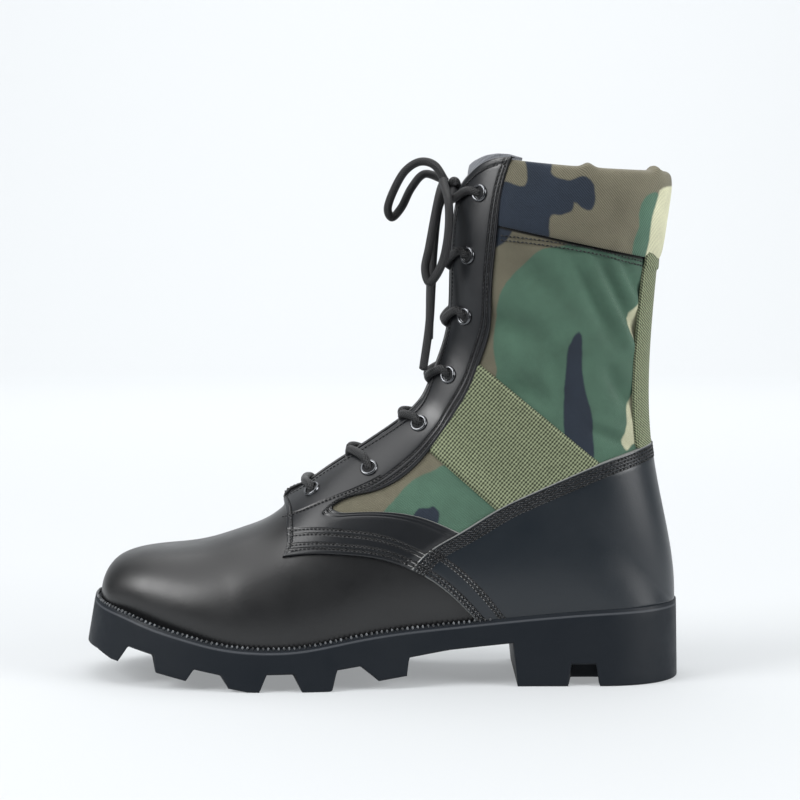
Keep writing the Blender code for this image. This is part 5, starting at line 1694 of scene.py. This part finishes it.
def make_strap(side, word):
    """Webbing from under the eyestay to under the heel cup: lines ruled over the upper between its edges."""
    along, across = np.meshgrid(*(np.linspace(0, 1, count) for count in STRAP_COUNTS), indexing="ij")
    top, low = (line[0] + (line[1] - line[0]) * along[..., None] for line in (STRAP_UPPER, STRAP_LOWER))
    places = low + (top - low) * across[..., None]
    rows, angles = locate(places[..., 0], places[..., 1])
    flat = upper_point(rows, -1.0, angles)
    width = run_length(flat.transpose(1, 0, 2)).T
    edge = np.minimum(width, width[:, -1:] - width)
    lift = (STRAP_EDGE["base"] + STRAP_EDGE["rise"] * rounded_rise(edge, STRAP_EDGE["radius"])
            + STRAP_EDGE["rib"] * (edge < STRAP_EDGE["rib_width"]))
    way = unit((STRAP_UPPER[1] - STRAP_UPPER[0])[None])[0]
    uv = np.stack([places[..., 0] * way[0] + places[..., 1] * way[1],
                   -places[..., 0] * way[1] + places[..., 1] * way[0]], axis=-1).reshape(-1, 2)
    made = surface_piece(f"strap_{word}_webbing", [(rows, angles, side, lift)], [LOOKS["webbing"]], uv)
    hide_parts(f"strap_{word}")


def make_backstay():
    """Narrow webbing over the back seam: rows of the upper out to a half-width, raised at its folded top."""
    rows = np.concatenate([np.linspace(*stretch) for stretch in BACKSTAY_ROWS])
    near = math.pi - angle_at_half_width(rows, np.full(len(rows), BACKSTAY_WIDTH / 2 + BACKSTAY_SPARE))
    grid_rows, angles = half_grid(rows, BACKSTAY_COLUMNS, near, np.full(len(rows), math.pi))
    flat = upper_point(grid_rows, -1.0, angles)
    width = run_length(flat.transpose(1, 0, 2)).T
    fold = rounded_rise(rows[-1] - grid_rows, BACKSTAY_FOLD["radius"])
    fold = fold * soft_step(grid_rows, *BACKSTAY_FOLD["rows"])
    rise = BACKSTAY_EDGE["rise"] * rounded_rise(width, BACKSTAY_EDGE["radius"])
    lift = BACKSTAY_EDGE["base"] + rise + BACKSTAY_FOLD["rise"] * fold
    climb = run_length(flat)
    uv = np.concatenate([np.stack([climb, width * side], -1).reshape(-1, 2) for side in SIDES])
    halves = [(grid_rows, angles, side, lift) for side in SIDES]
    made = surface_piece("backstay_webbing", halves, [LOOKS["webbing"]], uv)
    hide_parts("backstay")


CUFF_SEAM = ((59.0, 229.0), (75.0, 227.2), (92.9, 224.6), (109.2, 221.5), (122.5, 218.0), (131.0, 216.0))
CUFF_SEAM_DROPS = (3.2, 5.4)
CUFF_SEAM_LIFT = 0.25
CUFF_SEAM_SLANT = 0.3


def sew_plain_seams():
    """Stitch lines that follow no panel's edge: below the cuff, and where eyestay and lower band meet."""
    for side in SIDES:
        for drop in CUFF_SEAM_DROPS:
            sew_places(np.array(CUFF_SEAM) - (0.0, drop), side, CUFF_SEAM_LIFT, CUFF_SEAM_SLANT)
        sew_places(EYESTAY_SEAM, side, PANEL_TOP)


# Section of the padded collar: row and lift, from the outer seam over the top and down inside
CUFF_SECTION = (
    (22.10, 0.1), (21.97, 0.5), (21.95, 1.5), (22.12, 3.0), (22.6, 4.4), (23.2, 5.0), (23.7, 4.6),
    (24.0, 3.2), (24.1, 1.0), (24.1, -1.6), (24.0, -3.6), (23.6, -5.0), (23.0, -5.2), (22.4, -4.4),
    (22.1, -3.0), (22.15, -2.0), (22.1, -1.0),
)
CUFF_START = (57.0, 226.0)
CUFF_STATIONS = 90
CUFF_SECTION_PIECES = 4
CUFF_GIRTH_ROW = 23.0
CUFF_THIN = 0.20                # share of the padding at its very ends
CUFF_FULLNESS = ((0.25, (1.0, 9.0)), (0.55, (6.0, 30.0)))       # further shares, and where they grow
CUFF_MIDDLE = 60                # the station whose section gives the cloth's measure
CUFF_PUCKER = {"pitch": 2.3, "wander": 1.6, "drift": 9.0, "small": 0.16, "swell_pitch": 7.1, "swell": 0.25}
CUFF_PUCKER_ROW = {"at": 22.1, "width": 0.45, "elsewhere": 0.35}
CUFF_CROWN = (23.5, 24.0)
CUFF_GATHERS = (
    {"at": 40.0, "rise": 2.2, "width": 3.2},
    {"at": 80.0, "rise": 2.4, "width": 3.4},
    {"at": 118.0, "rise": 1.4, "width": 4.0},
    {"at": 150.0, "rise": 1.8, "width": 3.8},
)


def cuff_lift(line, girth):
    """Lift of the cuff's section along its girth: section plus two sine puckers at its seam, by fullness."""
    end = np.minimum(girth, girth[-1] - girth)
    full = CUFF_THIN + sum(part * soft_step(end, *grown) for part, grown in CUFF_FULLNESS)
    wander = CUFF_PUCKER["wander"] * np.sin(girth / CUFF_PUCKER["drift"])
    small = np.sin(girth / CUFF_PUCKER["pitch"] + wander)
    pucker = small * CUFF_PUCKER["small"] + np.sin(girth / CUFF_PUCKER["swell_pitch"]) * CUFF_PUCKER["swell"]
    low = np.exp(-((line[:, 0] - CUFF_PUCKER_ROW["at"]) / CUFF_PUCKER_ROW["width"]) ** 2) * (line[:, 1] > 0)
    puckered = pucker[:, None] * (CUFF_PUCKER_ROW["elsewhere"] + low[None, :])
    return (line[None, :, 1] + puckered) * full[:, None]


def make_cuff():
    """A padded roll over the collar, thin where it goes under the eyestay.

    A closed section of rows and lifts is carried around the upper's angles, with bell-shaped gathers on top.
    """
    line = closed_curve(CUFF_SECTION, CUFF_SECTION_PIECES)
    start_angle = float(locate(*CUFF_START)[1])
    half = start_angle + (math.pi - start_angle) * np.linspace(0, 1, CUFF_STATIONS)
    angles = np.concatenate([half, half[-2::-1]])
    sides = np.concatenate([-np.ones(CUFF_STATIONS), np.ones(CUFF_STATIONS - 1)])
    rows, every, every_side = (np.array(part) for part in
                               np.broadcast_arrays(line[None, :, 0], angles[:, None], sides[:, None]))
    girth = run_length(upper_point(np.full(len(angles), CUFF_GIRTH_ROW), sides, angles))
    lift = cuff_lift(line, girth)
    grid = lifted_point(rows, every_side, every, lift)
    crown = soft_step(line[:, 0], *CUFF_CROWN)
    for gather in CUFF_GATHERS:
        rise = gather["rise"] * np.exp(-((girth - gather["at"]) / gather["width"]) ** 2)
        grid[..., 2] += rise[:, None] * crown
    quads = grid_quads(*rows.shape, wrap_columns=True)
    outward = upper_normal(rows, every_side, every) * np.sign(lift + 0.01)[..., None]
    if not facing(grid, outward):
        quads = quads[:, ::-1]
    count = len(line)
    last = (len(angles) - 1) * count
    faces = quads.tolist() + [list(range(count)), list(range(last, last + count))]
    over = run_length(grid[CUFF_MIDDLE])[None, :]
    uv = np.stack(np.broadcast_arrays(girth[:, None], over), axis=-1).reshape(-1, 2)
    flat = grid.reshape(-1, 3)
    made = add_piece("padded_cuff", flat, faces, [LOOKS["cuff"]], uv, cuff_camo(flat))
    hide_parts("cuff")


EYELET_AROUND = 28
EYELET_ROLL = {"rings": 8, "taller": 0.25, "power": 0.7}
EYELET_FLOOR = {"height": 0.12, "middle": 0.01, "inward": 0.05}     # the dark disc in the hole
EYELET_LIFT = 0.05


def make_eyelets(side, word):
    """Rolled metal rings with dark holes, joined on each side: a profile turned about each one's normal."""
    turn = np.linspace(0, 2 * math.pi, EYELET_AROUND, endpoint=False)
    roll = np.linspace(math.pi, 0, EYELET_ROLL["rings"])
    middle = (EYELET_OUTER + EYELET_HOLE) / 4
    width = (EYELET_OUTER - EYELET_HOLE) / 4
    floor = [EYELET_FLOOR["middle"], EYELET_HOLE / 2 - EYELET_FLOOR["inward"]]
    radius = np.concatenate([floor, middle + width * np.cos(roll)])
    rise = (EYELET_HEIGHT + EYELET_ROLL["taller"]) * np.sin(roll) ** EYELET_ROLL["power"]
    height = np.concatenate([[EYELET_FLOOR["height"]] * 2, rise])
    points, faces, paint = [], [], []
    for number, spot in enumerate(EYELET_PLACES):
        row, angle = (np.asarray(value) for value in locate(*spot))
        sides = np.asarray(float(side))
        centre = lifted_point(row, sides, angle, PANEL_TOP + EYELET_LIFT)
        normal = upper_normal(row, sides, angle)
        first = unit(np.cross(normal, (0.0, 0.0, 1.0)))
        second = np.cross(normal, first)
        ring = np.cos(turn)[None, :, None] * first + np.sin(turn)[None, :, None] * second
        grid = centre + ring * radius[:, None, None] + height[:, None, None] * normal
        quads = grid_quads(len(radius), len(turn), number * grid.shape[0] * grid.shape[1], wrap_columns=True)
        points.append(grid.reshape(-1, 3))
        faces.append(quads[:, ::-1])
        paint.append(np.repeat([1] + [0] * (len(radius) - 2), len(turn)))
    points, faces, paint = (np.concatenate(part) for part in (points, faces, paint))
    materials = [LOOKS["metal"], LOOKS["lining"]]
    made = add_piece(f"eyelets_{word}", points, faces, materials, np.zeros((len(points), 2)), None, paint)
    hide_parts(*[f"eyelet_{word}_{number}" for number in range(1, len(EYELET_PLACES) + 1)])


def make_stitching():
    """All stitches as one joined mesh: rings that swell in the middle and dip into the panel at both ends."""
    middle, way, out = (np.concatenate(part) for part in zip(*STITCHES))
    aside = np.cross(out, way)
    share, swell, rise = np.transpose(STITCH_RINGS)
    around = STITCH["around"]
    total = around * len(share)
    turn = np.linspace(0, 2 * math.pi, around, endpoint=False)
    ring = np.cos(turn)[None, :, None] * out[:, None] + np.sin(turn)[None, :, None] * aside[:, None]
    core = middle[:, None] + way[:, None] * (share * STITCH["long"])[None, :, None]
    core = core + out[:, None] * rise[None, :, None]
    points = core[:, :, None] + ring[:, None] * (swell * STITCH["thick"])[None, :, None, None]
    caps = [range(around), range(total - 1, total - around - 1, -1)]
    faces = copies(grid_quads(len(share), around, wrap_columns=True), total, len(middle))
    faces += copies(caps, total, len(middle))
    made = add_piece("stitching", points.reshape(-1, 3), faces, [LOOKS["thread"]])


FRONT_EDGE, REAR_EDGE = quarter_edges()
for SIDE, WORD in ((-1.0, "outer"), (1.0, "inner")):
    make_quarter(SIDE, WORD, FRONT_EDGE, REAR_EDGE)
    make_strap(SIDE, WORD)
    make_eyelets(SIDE, WORD)
make_counter()
make_backstay()
make_cuff()
sew_plain_seams()
make_stitching()


SWEEP_DEPTH = 2.4       # floor behind the boot before the backdrop rises, in metres
SWEEP_RADIUS = 1.0
SWEEP_FRONT = -0.34     # edge of the table towards the camera
SWEEP_HALF = 6.0
SWEEP_TOP = 4.0
SWEEP_PIECES = 14
GLOW_COLOUR = (0.95, 0.98, 1.0, 1.0)
SKY_COLOUR = (0.92, 0.96, 1.0, 1.0)
SKY_STRENGTH = 0.14

# Softboxes: name, place, aim, width and height, power
SOFTBOXES = (
    ("top_softbox", (-0.1, 0.1, 1.7), (0.0, 0.05, 0.0), (2.6, 2.0), 30.0),
    ("left_softbox", (-1.3, -0.75, 1.0), (-0.08, 0.0, 0.07), (0.9, 0.9), 26.0),
    ("right_softbox", (1.4, -0.65, 0.7), (0.08, 0.0, 0.13), (0.9, 0.9), 22.0),
    ("backdrop_softbox", (0.0, 1.6, 2.2), (0.0, 3.2, 0.8), (4.0, 1.0), 90.0),
)


def make_sweep():
    """A white floor that turns by a quarter circle into a backdrop."""
    turn = np.linspace(0, math.pi / 2, SWEEP_PIECES)
    rise_y = SWEEP_DEPTH + SWEEP_RADIUS * np.sin(turn)
    y = np.concatenate([[SWEEP_FRONT, 0.0], rise_y, [SWEEP_DEPTH + SWEEP_RADIUS]])
    z = np.concatenate([[0.0, 0.0], SWEEP_RADIUS * (1 - np.cos(turn)), [SWEEP_TOP]])
    points = [(x, b, c) for x in (-SWEEP_HALF, SWEEP_HALF) for b, c in zip(y, z)]
    count = len(y)
    faces = [(i, count + i, count + i + 1, i + 1) for i in range(count - 1)]
    mesh = bpy.data.meshes.new("sweep")
    mesh.from_pydata(points, [], faces)
    mesh.polygons.foreach_set("use_smooth", np.ones(len(faces), bool))
    made, tree, shader = new_material("studio_white", FLOOR_WHITE, 0.9)
    shader.inputs["Emission Color"].default_value = GLOW_COLOUR
    shader.inputs["Emission Strength"].default_value = FLOOR_GLOW
    mesh.materials.append(made)
    sweep = bpy.data.objects.new("sweep", mesh)
    bpy.context.scene.collection.objects.link(sweep)
    return sweep


def make_light(name, place, aim, size, power):
    """A rectangular softbox that looks at its aim."""
    data = bpy.data.lights.new(name, "AREA")
    data.shape = "RECTANGLE"
    data.size, data.size_y = size
    data.energy = power
    made = bpy.data.objects.new(name, data)
    made.location = place
    way = Vector(aim) - Vector(place)
    made.rotation_euler = way.to_track_quat("-Z", "Y").to_euler()
    bpy.context.scene.collection.objects.link(made)
    return made


def make_world():
    """A dim even sky and the plain view transform."""
    world = bpy.data.worlds.new("studio")
    world.use_nodes = True
    back = world.node_tree.nodes["Background"]
    back.inputs["Color"].default_value = SKY_COLOUR
    back.inputs["Strength"].default_value = SKY_STRENGTH
    bpy.context.scene.world = world
    bpy.context.scene.view_settings.view_transform = "Standard"


SWEEP = make_sweep()
LIGHTS = [make_light(*softbox) for softbox in SOFTBOXES]
make_world()
